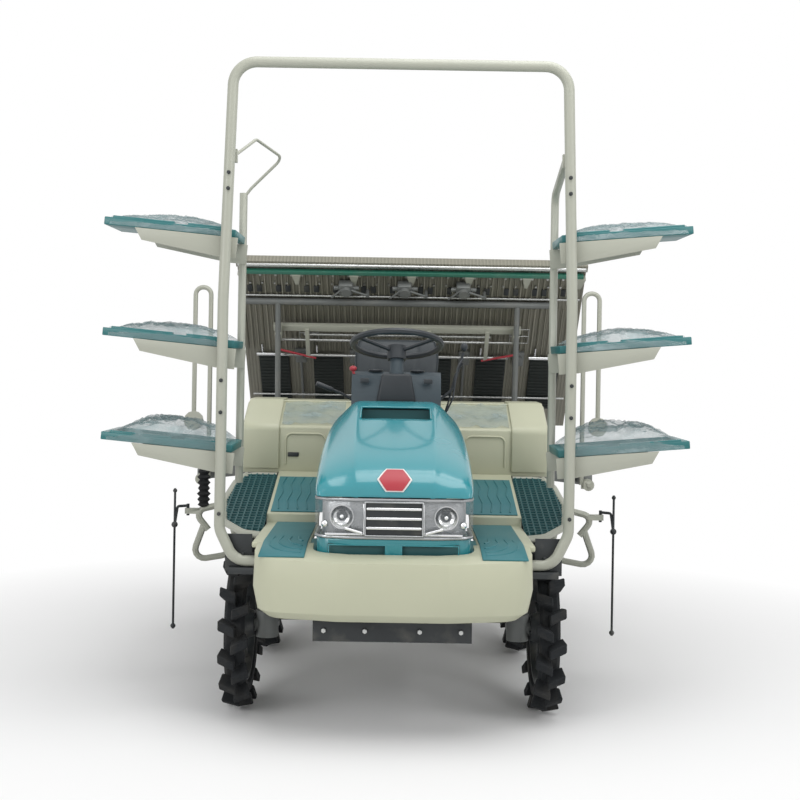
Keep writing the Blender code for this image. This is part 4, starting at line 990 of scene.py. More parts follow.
# %% Mats
MAT_RIDGES = (
    # paths over the mat, as shares of its width and length
    ((0.10, 0.08), (0.62, 0.16), (0.86, 0.42), (0.80, 0.90)),
    ((0.10, 0.22), (0.46, 0.30), (0.66, 0.52), (0.62, 0.94)),
    ((0.10, 0.38), (0.32, 0.46), (0.44, 0.64), (0.42, 0.94)),
    ((0.12, 0.60), (0.22, 0.70), (0.24, 0.94)),
)
MAT_BEND = -0.34              # where the front mats turn down, from the front axle
RIDGE_RADIUS = 0.004
for label, side in SIDES:
    node = "front_mat_" + label
    round_off(node, "machine", TEAL_MAT, "teal_gloss", 0.0015)
    low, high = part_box(node)
    bend_y = aft(MAT_BEND)
    ridges = []
    for index, ridge in enumerate(MAT_RIDGES):
        path = []
        for across, along in ridge:
            x = low.x + (high.x - low.x) * (across if side > 0 else 1 - across)
            y = low.y + 0.02 + (bend_y - low.y + 0.10) * along
            slope = (y - low.y) / (bend_y - low.y)
            top = high.z - 0.0005
            path.append((x, y, top if y > bend_y else low.z + 0.0055 + (top - low.z - 0.0055) * slope))
        path = [point for point in path if point[1] <= bend_y + 0.12]
        ridges.append(tube(f"ridge_{index}", path, RIDGE_RADIUS, 0.10, 3))
    dress(join("mat_ridges_" + label, ridges), "machine", TEAL_MAT, "teal_gloss")

FLOOR_FRONT, FLOOR_REAR = 0.20, 0.72          # behind the front axle
FLOOR_FRONT_Z, FLOOR_REAR_Z = 0.74, 0.87
FLOOR_SLOPE = (FLOOR_REAR_Z - FLOOR_FRONT_Z) / (FLOOR_REAR - FLOOR_FRONT)


def floor_top(behind):
    """Height of the sloping floor at a distance behind the front axle."""
    return FLOOR_FRONT_Z + (behind - FLOOR_FRONT) * FLOOR_SLOPE


for label, side in SIDES:
    inner, outer = sorted((side * 0.300, side * 0.515))
    behind = (0.215, 0.645)
    mat = block("floor_mat_" + label, (inner, aft(behind[0]), 0.0), (outer, aft(behind[1]), 0.004), 0.0015)
    turn = Matrix.Rotation(math.atan(FLOOR_SLOPE), 4, "X")
    hinge = Vector((0.0, aft(behind[0]), floor_top(behind[0]) + 0.0008))
    mat.data.transform(Matrix.Translation(hinge) @ turn @ Matrix.Translation((0.0, -hinge.y, 0.0)))
    dress(mat, "machine", TEAL_MAT, "teal_gloss")
    ridges = []
    for index in range(5):
        x = side * (0.325 + index * 0.040)
        path = [(x + side * 0.012 * (turn_step % 2), aft(d), floor_top(d) + 0.005)
                for turn_step, d in enumerate((0.235, 0.33, 0.43, 0.53, 0.62))]
        ridges.append(tube(f"floor_ridge_{index}", path, 0.0035, 0.08, 3))
    dress(join("floor_ridges_" + label, ridges), "machine", TEAL_MAT, "teal_gloss")

# %% Step grids
SLATS, SLAT_PITCH = 24, 0.028
RIBS, RIB_PITCH = 7, 0.026
BAR_HALF = 0.003
GRID_DEPTH, PAN_DEPTH = 0.010, 0.021
STEP_OUTLINE = (
    # out from the middle of the machine, and behind the front axle
    (0.5303, 0.0), (0.60, 0.02), (0.69, 0.13), (0.72, 0.35), (0.70, 0.58), (0.66, 0.69), (0.5303, 0.69)
)


def across_outline(value, along_y):
    """Where a straight line crosses the step's outline."""
    hits = []
    for (x0, y0), (x1, y1) in zip(STEP_OUTLINE, STEP_OUTLINE[1:] + STEP_OUTLINE[:1]):
        a, b = (y0, y1) if along_y else (x0, x1)
        if (a - value) * (b - value) < 0:
            share = (value - a) / (b - a)
            hits.append(x0 + (x1 - x0) * share if along_y else y0 + (y1 - y0) * share)
    return sorted(hits)


for label, side in SIDES:
    pieces = []
    for index in range(SLATS):
        y = 0.02 + index * SLAT_PITCH
        hits = across_outline(y, True)
        if len(hits) == 2:
            inner, outer = sorted((side * (hits[0] + 0.002), side * (hits[1] - 0.004)))
            front, rear = aft(y - BAR_HALF), aft(y + BAR_HALF)
            pieces.append(block("slat", (inner, front, -GRID_DEPTH), (outer, rear, 0.0), 0.0))
    for index in range(RIBS):
        x = 0.545 + index * RIB_PITCH
        hits = across_outline(x, False)
        if len(hits) == 2:
            inner, outer = sorted((side * (x - BAR_HALF), side * (x + BAR_HALF)))
            front, rear = aft(hits[0] + 0.004), aft(hits[1] - 0.004)
            pieces.append(block("rib", (inner, front, -GRID_DEPTH + 0.0005), (outer, rear, -0.0005), 0.0))
    pan = [(side * x, aft(y), -PAN_DEPTH) for x, y in STEP_OUTLINE]
    mesh = bpy.data.meshes.new("pan")
    mesh.from_pydata(pan, [], [tuple(range(len(pan)))])
    tray = bpy.data.objects.new("pan", mesh)
    bpy.context.collection.objects.link(tray)
    use_modifier(tray, "SOLIDIFY", thickness=0.003, offset=0.0)
    face_outwards(tray)
    tray.data.transform(Matrix.Translation((0, 0, 0.003)))
    pieces.append(tray)
    grid = join("step_grid_" + label, pieces)
    alone(grid)
    bpy.ops.object.mode_set(mode="EDIT")
    bpy.ops.mesh.select_all(action="SELECT")
    bpy.ops.mesh.subdivide(number_cuts=1)
    bpy.ops.object.mode_set(mode="OBJECT")
    for corner in grid.data.vertices:
        corner.co.z += floor_top(corner.co.y - AXLE_Y)
    dress(grid, "machine", TEAL_STEP, "step_mesh", "mesh_step_" + label)
    rim_line = [(side * (x if y == 0 else x + 0.004), aft(y), floor_top(y) - 0.010) for x, y in STEP_OUTLINE]
    rim = tube("step_rim_" + label, rim_line, 0.011, 0.06)
    dress(rim, "machine", TUBE, "tube_paint")

# %% [markdown]
# ## The seat
#
# The seat is padded vinyl: a crowned cushion with rolled edges and a back that curls forward at its sides.
# Each pad is a fine block that swells where it is stuffed, with piping sewn round its edge and two stitched
# channels pressed into it.

# %% Seat pads
PIPING_RADIUS = 0.0035
ACROSS, ALONG = 36, 30        # squares in a pad
STITCH_WIDTH = 0.045          # of a pressed channel, as a share of the half width
SQUARENESS = 0.16             # how much the corners are drawn in
CHANNELS = (-0.5, 0.5)        # where the channels are, as shares of the half width


def pad(name, centre, half, crown, across=ACROSS, along=ALONG):
    """A stuffed pad lying flat: crowned on top, rolled at its edge, with pressed channels."""
    top, under = [], []
    for r in range(along + 1):
        v = r / along * 2 - 1
        top_row, under_row = [], []
        for c in range(across + 1):
            u = c / across * 2 - 1
            # squares rounded at their corners
            x = half[0] * u * math.sqrt(1 - SQUARENESS * v * v)
            y = half[1] * v * math.sqrt(1 - SQUARENESS * u * u)
            edge = (1 - u ** 6) * (1 - v ** 6)
            swell = crown * (0.55 + 0.45 * (1 - u * u) * (1 - v * v)) * edge ** 0.35
            for channel in CHANNELS:
                swell -= crown * 0.22 * math.exp(-((u - channel) / STITCH_WIDTH) ** 2) * edge
            swell += 0.0012 * noise.noise(Vector((x * 22, y * 22, centre[2] * 5))) * edge
            top_row.append((x, y, half[2] * 0.2 + swell))
            under_row.append((x * 0.985, y * 0.985, -half[2] * (0.35 + 0.65 * edge ** 0.3)))
        top.append(top_row)
        under.append(under_row)
    points = [p for row in top for p in row] + [p for row in under for p in row]
    width, offset = across + 1, (across + 1) * (along + 1)
    faces = []
    for r in range(along):
        for c in range(across):
            a = r * width + c
            faces.append((a, a + 1, a + 1 + width, a + width))
            b = a + offset
            faces.append((b, b + width, b + 1 + width, b + 1))
    ring = [(0, c) for c in range(width)] + [(r, across) for r in range(1, along + 1)]
    ring += [(along, c) for c in range(across - 1, -1, -1)] + [(r, 0) for r in range(along - 1, 0, -1)]
    for (r0, c0), (r1, c1) in zip(ring, ring[1:] + ring[:1]):
        a, b = r0 * width + c0, r1 * width + c1
        faces.append((b, a, a + offset, b + offset))
    mesh = bpy.data.meshes.new(name)
    mesh.from_pydata(points, [], faces)
    piece = bpy.data.objects.new(name, mesh)
    bpy.context.collection.objects.link(piece)
    face_outwards(piece)
    bpy.ops.object.shade_smooth()
    edge_line = [top[r][c] for r, c in ring][::2]
    piping = tube(name + "_piping", edge_line, PIPING_RADIUS, 0.0, 3, closed=True)
    return piece, piping


seat_centre = Vector((0.0, aft(1.085), 1.232))
cushion, piping = pad("seat_cushion", seat_centre, (0.212, 0.180, 0.032), 0.034)
tilt = Matrix.Translation(seat_centre) @ Matrix.Rotation(math.radians(4), 4, "X")
for piece in (cushion, piping):
    piece.data.transform(tilt)
cushion_all = join("seat_cushion", [cushion, piping])
BACK_HALF = 0.205
BACK_CURL = 0.025             # how far the sides of the back come forward
back_centre = Vector((0.0, aft(1.292), 1.372))
back, back_piping = pad("seat_back", back_centre, (BACK_HALF, 0.108, 0.034), 0.030)
stand = Matrix.Translation(back_centre) @ Matrix.Rotation(math.radians(78), 4, "X")
for piece in (back, back_piping):
    for corner in piece.data.vertices:
        corner.co.z += BACK_CURL * (corner.co.x / BACK_HALF) ** 2
    piece.data.transform(stand)
back_all = join("seat_back", [back, back_piping])
POST_X = 0.13
POST_LINE = ((aft(1.24), 1.200), (aft(1.345), 1.235), (aft(1.352), 1.40))
pan = [tube("seat_post", [(side * POST_X, y, z) for y, z in POST_LINE], 0.009, 0.04) for _, side in SIDES]
pan.append(block("seat_pan", (-0.17, aft(0.93), 1.176), (0.17, aft(1.25), 1.200), 0.006))
dress(join("seat_pan", pan), "machine", BLACK, "grey_seat")
for piece in (cushion_all, back_all):
    dress(piece, "machine", GREY, "grey_seat")
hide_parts("seat")

# %% [markdown]
# ## Hoop and its bolts
#
# The guard hoop is one long bent tube. It is bent again here with a finer round, and bolted with hexagon
# heads at its feet and where the rack frames meet it.

# %% Hoop
_, HOOP_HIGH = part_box("hoop_frame")
HOOP_Y = aft(-0.30)
HOOP_TOP = HOOP_HIGH.z - 0.021
CENTRE_LINE = ((0.0, HOOP_TOP), (0.63, HOOP_TOP), (0.657, 1.60), (0.657, 0.74), (0.60, 0.622), (0.50, 0.622))
HOOP_BOLTS = (
    (0.515, 0.645), (0.565, 0.645), (0.657, 0.80), (0.657, 1.18), (0.657, 1.30), (0.642, 2.02), (0.641, 2.08)
)
left_line = curved([(x, HOOP_Y, z) for x, z in CENTRE_LINE], 0.09, 12)
right_line = [Vector((-p.x, p.y, p.z)) for p in reversed(left_line[1:])]
hoop = tube("hoop_tube", right_line + left_line, 0.0205, 0.0, 8)
dress(hoop, "machine", TUBE, "tube_paint", "hoop_frame")
bolts = []
for label, side in SIDES:
    for x, z in HOOP_BOLTS:
        foot = z < 0.7
        start = Vector((side * x, HOOP_Y, z)) if foot else Vector((side * x, HOOP_Y - 0.018, z))
        end = start + (Vector((0, 0, 0.010)) if foot else Vector((0, -0.010, 0)))
        bolts.append(bar("bolt", start, end, 0.008, 6, 0.001))
dress(join("hoop_bolts", bolts), "machine", BLACK, "tube_paint")

# %% [markdown]
# ## Seedling racks
#
# Each shelf is a moulded tray with a raised rim, ribs along its floor and two raised blocks at its front
# edge. Its arm is a pressed steel gutter that tapers outwards. The shelves still wear their packing film:
# thin, clear and badly wrinkled, bunched highest on the lower pair.

# %% Trays
RACKS = (("lower", 0.105), ("middle", 0.050), ("upper", 0.042))
TRAY_SLOPE = math.tan(math.radians(5.0))
TRAY_INNER = 0.62             # half distance between the trays' inner ends
for label, side in SIDES:
    for level, _ in RACKS:
        node = f"tray_{level}_{label}"
        low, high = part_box(node)
        tray = round_off(node, "machine", TEAL_TRAY, "tray_teal", 0.003)

        def shelf_z(x, lift):
            return low.z + 0.008 + (abs(x) - TRAY_INNER) * TRAY_SLOPE + lift

        extras = []
        for index in range(5):
            y = low.y + 0.045 + index * 0.052
            path = [(side * x, y, shelf_z(x, 0.004)) for x in (0.66, 1.08)]
            extras.append(tube("tray_rib", path, 0.004, 0.0, 3))
        for x0, x1 in ((0.655, 0.800), (0.850, 1.085)):
            near, far = sorted((side * x0, side * x1))
            lump = block("tray_block", (near, low.y + 0.003, 0.0), (far, low.y + 0.030, 0.026), 0.004, 3)
            for corner in lump.data.vertices:
                corner.co.z += shelf_z(corner.co.x, 0.004)
            extras.append(lump)
        dress(join(f"tray_ribs_{level}_{label}", extras), "machine", TEAL_TRAY, "tray_teal")

# %% [markdown]
# A sheet of film is wider and longer than the tray it covers. Here it is laid from the inner end to the outer
# end over the tray, with ridged wrinkles that come from a few layers of noise, and it turns down a little
# over the tray's front and rear edges.

# %% Packing film
FILM_LENGTH = 0.455           # along the tray
FILM_WIDTH = 0.330            # from the front of the tray to its rear, and over both edges


def film(name, side, low, bunch, seed):
    across, along = 110, 66
    rows = []
    for r in range(along + 1):
        v = r / along
        row = []
        for c in range(across + 1):
            u = c / across
            x = 0.640 + FILM_LENGTH * u
            y = low.y - 0.010 + FILM_WIDTH * v
            edge = min(1.0, 6.0 * min(u, 1 - u, v, 1 - v) + 0.15)
            p = Vector((x * 5.0 + seed, y * 9.0 + x * 2.5, seed * 0.7))
            big = noise.noise(p) * 0.5 + 0.5
            ridge = 1.0 - abs(noise.noise(p * 2.7 + Vector((3.0, 1.0, 0.0)))) * 2.2
            fine = 1.0 - abs(noise.noise(p * 6.5)) * 2.0
            swell = math.sin(math.pi * min(1.0, u * 1.08)) ** 0.7 * math.sin(math.pi * v) ** 0.5
            heap = 0.34 + 0.46 * big + 0.20 * max(0.0, ridge)
            lift = bunch * swell * heap + 0.007 * max(0.0, fine) * edge
            drop = 0.034 * max(0.0, 1 - 9.0 * min(v, 1 - v)) ** 1.4
            z = low.z + 0.036 + (x - TRAY_INNER) * TRAY_SLOPE + lift - drop
            row.append((side * x, y + 0.006 * noise.noise(p * 3.1) * edge, z))
        rows.append(row)
    piece = grid_piece(name, rows)
    face_outwards(piece)
    if sum(face.normal.z for face in piece.data.polygons) < 0:
        piece.data.flip_normals()
    bpy.ops.object.shade_smooth()
    area = sum(face.area for face in piece.data.polygons)
    dress(piece, "machine", FILM, "tray_teal")
    long_side = FILM_LENGTH * (area / (FILM_LENGTH * FILM_WIDTH)) ** 0.5
    area / long_side
    return area / long_side, long_side


seed = 1.0
for label, side in SIDES:
    for level, bunch in RACKS:
        tray = f"tray_{level}_{label}"
        size = film(f"film_{level}_{label}", side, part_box(tray)[0], bunch, seed)
        print("film", level, label, "flat size", [round(value, 3) for value in size])
        seed += 5.3

# %% [markdown]
# ## The seedling table and its feed gear
#
# From the front the table shows its underside, and that is where its feed gear is: a rail with brackets at
# the top edge, three small gearboxes, cross bars, and six black belts that carry the mats of seedlings down.
# A helper places things on the sloping underside, from the distance down the slope and the height off the
# sheet.

# %% Places on the table
TABLE_TOP, TABLE_FOOT = (1.47, 1.88), (2.30, 1.02)       # behind the front axle, and height
TABLE_RUN, TABLE_DROP = TABLE_FOOT[0] - TABLE_TOP[0], TABLE_TOP[1] - TABLE_FOOT[1]
TABLE_LENGTH = math.hypot(TABLE_RUN, TABLE_DROP)
DOWN_Y, DOWN_Z = TABLE_RUN / TABLE_LENGTH, -TABLE_DROP / TABLE_LENGTH
ROW_PITCH = 0.298
TABLE_MIDDLE = 0.07
ROW_EDGES = [TABLE_MIDDLE + (index - 3) * ROW_PITCH for index in range(7)]
ROW_MIDDLES = [TABLE_MIDDLE + (index - 2.5) * ROW_PITCH for index in range(6)]
SHEET_THICK = 0.012
# x stays; the second axis runs down the slope; the third stands off the underside
UNDERSIDE = Matrix((
    (1.0, 0.0, 0.0, 0.0),
    (0.0, DOWN_Y, DOWN_Z, aft(TABLE_TOP[0]) + SHEET_THICK * DOWN_Z),
    (0.0, DOWN_Z, -DOWN_Y, TABLE_TOP[1] - SHEET_THICK * DOWN_Y),
    (0.0, 0.0, 0.0, 1.0),
))


def underside_block(x, down, lift, edge=0.002):
    """A block on the table's underside, from its ranges across, down the slope and off the sheet."""
    piece = block("part", (x[0], down[0], lift[0]), (x[1], down[1], lift[1]), edge)
    piece.data.transform(UNDERSIDE)
    if UNDERSIDE.determinant() < 0:
        piece.data.flip_normals()
    return piece


def underside_bar(start, end, radius, sides=16):
    return bar("part", UNDERSIDE @ Vector(start), UNDERSIDE @ Vector(end), radius, sides)


def underside_tube(path, radius, bend=0.0, closed=False):
    return tube("part", [UNDERSIDE @ Vector(p) for p in path], radius, bend, 3, closed)


# %% Table sheet and its feed gear
TABLE_RIBS, RIB_SPACING = 60, 0.0297
round_off("seedling_table", "table", SHEET, "table_sheet", 0.0012, 1)
LEFT_END, RIGHT_END = TABLE_MIDDLE - 0.895, TABLE_MIDDLE + 0.895
dress(join("table_ribs", [
    underside_block((x - 0.003, x + 0.003), down, (0.0, 0.005), 0.0)
    for down in ((0.070, 0.222), (0.290, 0.615))
    for x in [LEFT_END + 0.012 + RIB_SPACING * index for index in range(TABLE_RIBS)]
]), "table", SHEET, "table_sheet")
dress(join("table_top_tube", [
    underside_bar((LEFT_END, 0.004, 0.014), (RIGHT_END, 0.004, 0.014), 0.012),
    underside_bar((LEFT_END + 0.01, 0.215, 0.010), (RIGHT_END - 0.01, 0.215, 0.010), 0.006),
]), "table", STEEL, "table_sheet")
green_rail = underside_block((LEFT_END + 0.01, RIGHT_END - 0.01), (0.030, 0.052), (0.010, 0.034))
dress(green_rail, "table", GREEN, "table_sheet")

brackets, slots, studs = [], [], []
for x in ROW_EDGES:
    x = max(LEFT_END + 0.02, min(RIGHT_END - 0.02, x))
    gusset = underside_block((x - 0.024, x + 0.024), (0.052, 0.140), (0.0, 0.038), 0.0)
    for corner in gusset.data.vertices:
        place = UNDERSIDE.inverted() @ corner.co
        if place.y > 0.10:
            place.x = x + (place.x - x) * 0.35
            place.z *= 0.3
            corner.co = UNDERSIDE @ place
    brackets.append(soften(gusset, 0.002))
for x in ROW_MIDDLES:
    for shift in (-0.10, -0.05, 0.05, 0.10):
        slots.append(
            underside_block((x + shift - 0.014, x + shift + 0.014), (0.150, 0.196), (0.0, 0.007), 0.004)
        )
    for shift in (-0.12, -0.04, 0.04, 0.12):
        studs.append(underside_bar((x + shift, 0.075, 0.0), (x + shift, 0.075, 0.014), 0.007, 6))
        studs.append(underside_bar((x + shift * 0.8, 0.132, 0.0), (x + shift * 0.8, 0.132, 0.010), 0.006, 6))
dress(join("table_brackets", brackets), "table", TUBE, "table_sheet")
dress(join("table_slots", slots), "table", BLACK, "table_sheet")
dress(join("table_studs", studs), "table", STEEL, "table_sheet")

GEARBOX_PLACES = (-0.263, 0.042, 0.347)
gear = []
for x in GEARBOX_PLACES:
    gear.append(underside_block((x - 0.045, x + 0.030), (0.100, 0.170), (0.004, 0.058), 0.010))
    gear.append(underside_bar((x - 0.006, 0.135, 0.050), (x - 0.006, 0.135, 0.080), 0.026, 24))
    gear.append(underside_bar((x - 0.070, 0.135, 0.035), (x + 0.060, 0.135, 0.035), 0.012, 16))
    gear.append(underside_bar((x + 0.020, 0.130, 0.060), (x + 0.105, 0.172, 0.050), 0.0055, 12))
    gear.append(underside_bar((x - 0.02, 0.115, 0.065), (x - 0.082, 0.185, 0.055), 0.0055, 12))
    gear.append(underside_bar((x + 0.105, 0.172, 0.010), (x + 0.105, 0.172, 0.058), 0.009, 12))
dress(join("feed_gearboxes", gear), "table", CAST, "cast_grey")

# %% Belts, bars and rods
BELT_HALF, BELT_START, BELT_END = 0.082, 0.655, 1.045
CLEATS, CLEAT_PITCH = 15, 0.025
belts, cleats, caps = [], [], []
for x in ROW_MIDDLES:
    belts.append(underside_block((x - BELT_HALF, x + BELT_HALF), (BELT_START, BELT_END), (0.0, 0.010), 0.003))
    for index in range(CLEATS):
        down = BELT_START + 0.020 + index * CLEAT_PITCH
        cleats.append(
            underside_block((x - 0.078, x + 0.078), (down - 0.003, down + 0.003), (0.008, 0.015), 0.0)
        )
    caps.append(underside_bar((x - 0.092, 0.640, 0.014), (x + 0.092, 0.640, 0.014), 0.010))
    caps.append(underside_bar((x - 0.060, 0.625, 0.010), (x - 0.060, 0.57, 0.010), 0.005, 10))
dress(join("feed_belts", belts + cleats), "table", BELT, "table_sheet")
dress(join("belt_bars", caps), "table", CHROME, "table_sheet")
blocks = []
for x in ROW_EDGES[1:-1]:
    blocks.append(underside_block((x - 0.030, x + 0.030), (0.600, 0.700), (0.0, 0.020), 0.005))
    blocks.append(underside_block((x - 0.018, x + 0.018), (0.620, 0.660), (0.014, 0.040), 0.006))
    blocks.append(underside_bar((x, 0.700, 0.012), (x, 0.98, 0.012), 0.007, 12))
dress(join("feed_blocks", blocks), "table", CAST, "cast_grey")
LOOP_PLACES, LOOP_LIFT = (-0.476, 0.658), 0.012
wires = []
for x in LOOP_PLACES:
    left, right = x - 0.05, x + 0.05
    corners = ((left, 0.43), (right, 0.43), (right, 0.53), (left, 0.53))
    loop = [(across, down, LOOP_LIFT) for across, down in corners]
    wires.append(underside_tube(loop, 0.003, 0.0, closed=True))
    wires.append(underside_tube(((left, 0.48, LOOP_LIFT), (right, 0.48, LOOP_LIFT)), 0.003))
wires.append(underside_bar((LEFT_END + 0.02, 0.945, 0.022), (RIGHT_END - 0.02, 0.945, 0.022), 0.006))
dress(join("table_wires", wires), "table", STEEL, "table_sheet")
rail = [underside_block((-0.66, 0.66), (0.385, 0.425), (0.034, 0.060), 0.003)]
rods = []
for down, lift, end in ((0.455, 0.050, 0.50), (0.490, 0.056, 0.62), (0.600, 0.060, 0.60)):
    rods.append(underside_bar((-end, down, lift), (end, down, lift), 0.007))
for _, side in SIDES:
    rail.append(underside_block(sorted((side * 0.614, side * 0.646)), (0.380, 0.440), (0.060, 0.125), 0.003))
    for x in (0.16, 0.47):
        rail.append(
            underside_block(sorted((side * x, side * (x + 0.022))), (0.405, 0.615), (0.052, 0.068), 0.002)
        )
dress(join("cross_rail", rail), "planter", TUBE, "cast_grey")
dress(join("cross_rods", rods), "planter", STEEL, "cast_grey")
red = [
    underside_bar((-0.64, 0.545, 0.075), (-0.44, 0.620, 0.062), 0.006, 12),
    underside_bar((0.46, 0.620, 0.062), (0.64, 0.560, 0.075), 0.006, 12),
]
dress(join("red_rods", red), "planter", RED, "black_steel")

# %% [markdown]
# ## The rear cover and the driver's place
#
# The cover behind the driver's feet has raised panels at both ends, a door outlined by a seam, and a roll
# along its rear edge. The steering column, levers and switches stand on and beside the dash.

# %% Rear cover panels
COVER_SECTION = ((0.72, 0.880), (0.72, 1.070), (0.95, 1.175), (1.16, 1.175))
DOOR_SEAM = ((0.500, 0.900), (0.500, 1.040), (0.330, 1.040), (0.300, 0.960), (0.300, 0.900))


def cover_panel(name, inner, outer, proud):
    """A raised panel that follows the cover's front face, slope and top."""
    inside = curved([(0.0, aft(y), z) for y, z in COVER_SECTION], 0.03)
    rows = [[(x, p.y, p.z) for x in (inner, (inner + outer) / 2, outer)] for p in inside]
    piece = grid_piece(name, rows)
    face_outwards(piece)
    if sum(face.normal.z * face.area for face in piece.data.polygons) < 0:
        piece.data.flip_normals()
    use_modifier(piece, "SOLIDIFY", thickness=proud, offset=1.0)
    return soften(piece, proud * 0.4, 2)


panels = []
for label, side in SIDES:
    inner, outer = sorted((side * 0.530, side * 0.692))
    panels.append(cover_panel("cover_end", inner, outer, 0.014))
    seam = [(side * x, aft(0.718), z) for x, z in DOOR_SEAM]
    panels.append(tube("cover_seam", seam, 0.0045, 0.03, 3))
panels.append(tube("cover_roll", ((-0.69, aft(0.955), 1.178), (0.69, aft(0.955), 1.178)), 0.006, 0.0, 3))
dress(join("cover_panels", panels), "machine", CREAM, "cream_panel")


def cover_film(name, inner, outer, seed):
    """Film left on the cover's slope, lying in long shallow folds."""
    (foot, foot_z), (head, head_z) = COVER_SECTION[1:3]
    rows = []
    for r in range(29):
        y = 0.735 + 0.205 * r / 28
        row = []
        for c in range(91):
            x = inner + (outer - inner) * c / 90
            p = Vector((x * 9.0 + seed, y * 14.0 + x * 5.0, seed))
            fold = max(0.0, 1.0 - abs(noise.noise(p)) * 3.0)
            slope_z = foot_z + (y - foot) * (head_z - foot_z) / (head - foot)
            z = slope_z + 0.004 + 0.010 * fold + 0.002 * noise.noise(p * 4.0)
            row.append((x, aft(y), z))
        rows.append(row)
    piece = grid_piece(name, rows)
    face_outwards(piece)
    if sum(face.normal.z for face in piece.data.polygons) < 0:
        piece.data.flip_normals()
    bpy.ops.object.shade_smooth()
    dress(piece, "machine", FILM, "cream_panel")
    area = sum(face.area for face in piece.data.polygons)
    wide = (outer - inner) * 1.01
    area / wide
    return wide, area / wide


for label, side, seed in (("right", -1, 3.1), ("left", 1, 8.7)):
    inner, outer = sorted((side * 0.235, side * 0.520))
    print(
        "cover film", label,
        [round(value, 3) for value in cover_film("film_cover_" + label, inner, outer, seed)]
    )
port = block("service_port", (-0.49, aft(0.714), 0.935), (-0.44, aft(0.722), 0.955), 0.002)
dress(port, "machine", BLACK, "black_steel")

# %% Dash, levers and switches
LEVER_LINES = (
    # name, points, radius, bend, sides
    ("lever", ((-0.175, 0.43, 1.20), (-0.235, 0.43, 1.235), (-0.285, 0.42, 1.255)), 0.006, 0.03, 4),
    ("lever", ((0.175, 0.45, 1.20), (0.245, 0.46, 1.26), (0.290, 0.46, 1.42)), 0.006, 0.05, 4),
    ("cable", ((0.185, 0.40, 1.10), (0.245, 0.41, 1.22), (0.265, 0.44, 1.36), (0.289, 0.46, 1.395)),
     0.004, 0.08, 3),
    ("cable", ((0.185, 0.47, 1.08), (0.225, 0.47, 1.19), (0.255, 0.465, 1.32), (0.288, 0.46, 1.375)),
     0.004, 0.08, 3),
)
black_parts = [
    tube(name, [(x, aft(behind), z) for x, behind, z in points], radius, bend, sides)
    for name, points, radius, bend, sides in LEVER_LINES
]
black_parts += [
    bar("lever_grip", (-0.275, aft(0.422), 1.250), (-0.345, aft(0.41), 1.278), 0.011, 16, 0.003),
    ball("lever_knob", (0.293, aft(0.46), 1.445), 0.020, (0.8, 0.8, 1.0)),
]
dress(join("levers", black_parts), "machine", GRIP, "wheel_grip")
knob = join("red_knob", [
    ball("knob", (-0.186, aft(0.36), 1.345), 0.016, (1.0, 1.0, 0.8)),
    bar("stem", (-0.178, aft(0.36), 1.300), (-0.186, aft(0.36), 1.340), 0.006, 12),
])
dress(knob, "machine", RED, "wheel_grip")
DIAL = ((0.0, 0.001), (0.0, 0.030), (0.006, 0.032), (0.009, 0.028), (0.004, 0.024), (0.004, 0.001))
dials = [turned("dial", DIAL, (0, 0, 0), axis="Z", steps=32)]
dials.append(copy_of(dials[0], Matrix.Translation((0.09, aft(0.40), 1.3335))))
dials[0].data.transform(Matrix.Translation((-0.09, aft(0.40), 1.3335)))
dress(join("dials", dials), "machine", GRIP, "grey_seat")
cowl = [
    block("cowl", (-0.062, aft(0.296), 1.195), (0.062, aft(0.318), 1.326), 0.010, 3),
    block("shelf", (-0.176, aft(0.300), 1.180), (0.176, aft(0.316), 1.196), 0.005, 3),
]
for corner in cowl[0].data.vertices:
    corner.co.x *= 1.0 + (1.326 - corner.co.z) * 3.0
for _, side in SIDES:
    x = side * 0.135
    cowl.append(block("switch", (x - 0.018, aft(0.299), 1.285), (x + 0.018, aft(0.316), 1.305), 0.003))
dress(join("dash_cowl", cowl), "machine", GRIP, "grey_seat")

# %% Under the hood
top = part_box("engine_block")[1].z
RIB_HALF = 0.165
head = [
    block("head_rib", (-RIB_HALF, aft(-0.02 + 0.032 * index), top - 0.004),
          (RIB_HALF, aft(-0.006 + 0.032 * index), top + 0.026), 0.003)
    for index in range(7)
]
cover_low, cover_high = (-0.070, aft(-0.025), top + 0.010), (0.070, aft(0.195), top + 0.040)
head.append(block("head_cover", cover_low, cover_high, 0.010, 3))
dress(join("cylinder_head", head), "machine", CAST, "cast_grey")
FILTER_Y = aft(-0.110)
filter_parts = [
    bar("air_filter", (-0.100, FILTER_Y, top + 0.0005), (-0.100, FILTER_Y, top + 0.070), 0.056, 40, 0.008),
    tube("intake", ((-0.050, FILTER_Y, top + 0.045), (0.010, FILTER_Y, top + 0.045),
                    (0.030, aft(-0.030), top + 0.035)), 0.017, 0.04),
    block("battery", (0.060, aft(-0.205), top + 0.0005), (0.185, aft(-0.080), top + 0.055), 0.006),
]
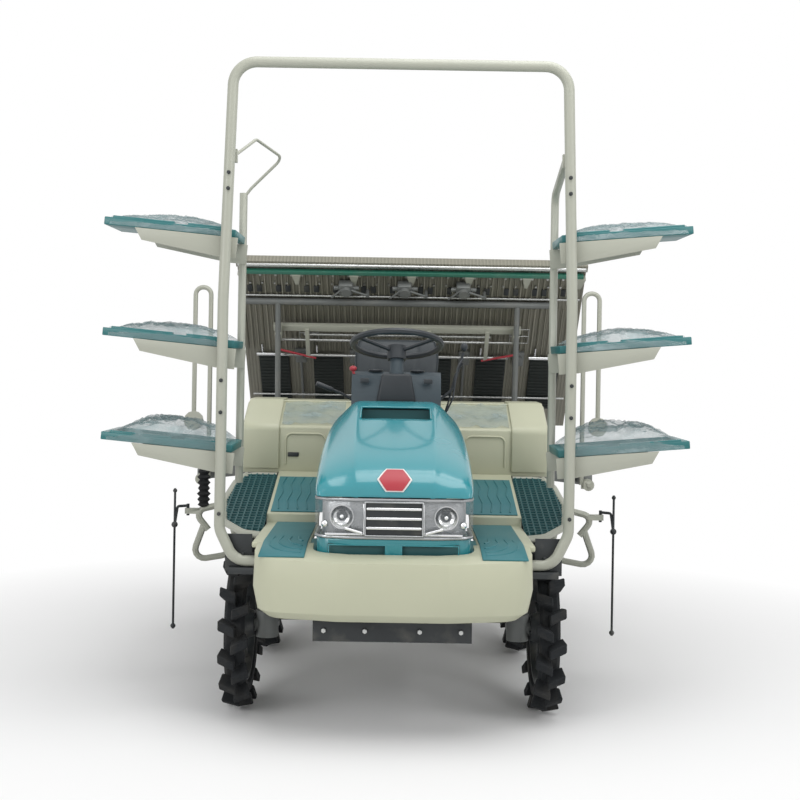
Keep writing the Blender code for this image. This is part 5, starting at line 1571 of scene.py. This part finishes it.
dress(join("engine_bay", filter_parts), "machine", GRIP, "black_steel")
posts = [
    bar("post", (x, aft(-0.180), top + 0.054), (x, aft(-0.180), top + 0.064), 0.008, 16, 0.001)
    for x in (0.085, 0.160)
]
dress(join("battery_posts", posts), "machine", STEEL, "black_steel")

# %% [markdown]
# ## Small things on the marker arms and steps
#
# A ribbed rubber boot stands on the right-hand stirrup, round feet tip the marker needles, thin claws tip the
# planting heads, and bolt heads hold the guard.

# %% Marker feet, claws, boot and guard bolts
ROTOR_PITCH = 0.60
HEAD_X, CLAW_Y = 0.17, aft(2.309)
for label, place in (("right", -1), ("center", 0), ("left", 1)):
    claws = []
    for head in (-HEAD_X, HEAD_X):
        for shift in (-0.004, 0.004):
            x = place * ROTOR_PITCH + head + shift
            for root, point in ((0.680, 0.664), (0.840, 0.820)):
                claws.append(bar("claw", (x, CLAW_Y, root), (x, CLAW_Y, point), 0.0028, 10, tip=0.001))
    dress(join("claws_" + label, claws), "rotor_" + label, STEEL, "cast_grey")
NEEDLE_X, NEEDLE_Y = 0.939, aft(0.36)
for label, side in SIDES:
    feet = [
        ball("foot", (side * NEEDLE_X, NEEDLE_Y, 0.232), 0.011),
        ball("top", (side * NEEDLE_X, NEEDLE_Y, 0.81), 0.009),
    ]
    dress(join("marker_feet_" + label, feet), f"side_marker_{label}_body", BLACK, "black_steel")
boot = [(0.0, 0.006)]
for ring in range(7):
    z = 0.012 + ring * 0.024
    boot += [(z, 0.026 + 0.002 * (ring % 3)), (z + 0.012, 0.018)]
boot += [(0.176, 0.014), (0.176, 0.006)]
boot = turned("marker_boot", boot, (0, 0, 0), "Z", 32)
boot.data.transform(Matrix.Translation((-0.822, aft(0.40), 0.7345)))
dress(boot, "machine", HOSE, "tube_paint")
guard = []
for x in (-0.25, -0.10, 0.10, 0.25):
    guard.append(bar("bolt", (x, aft(-0.458), 0.40), (x, aft(-0.470), 0.40), 0.009, 6, 0.001))
dress(join("guard_bolts", guard), "machine", STEEL, "black_steel")
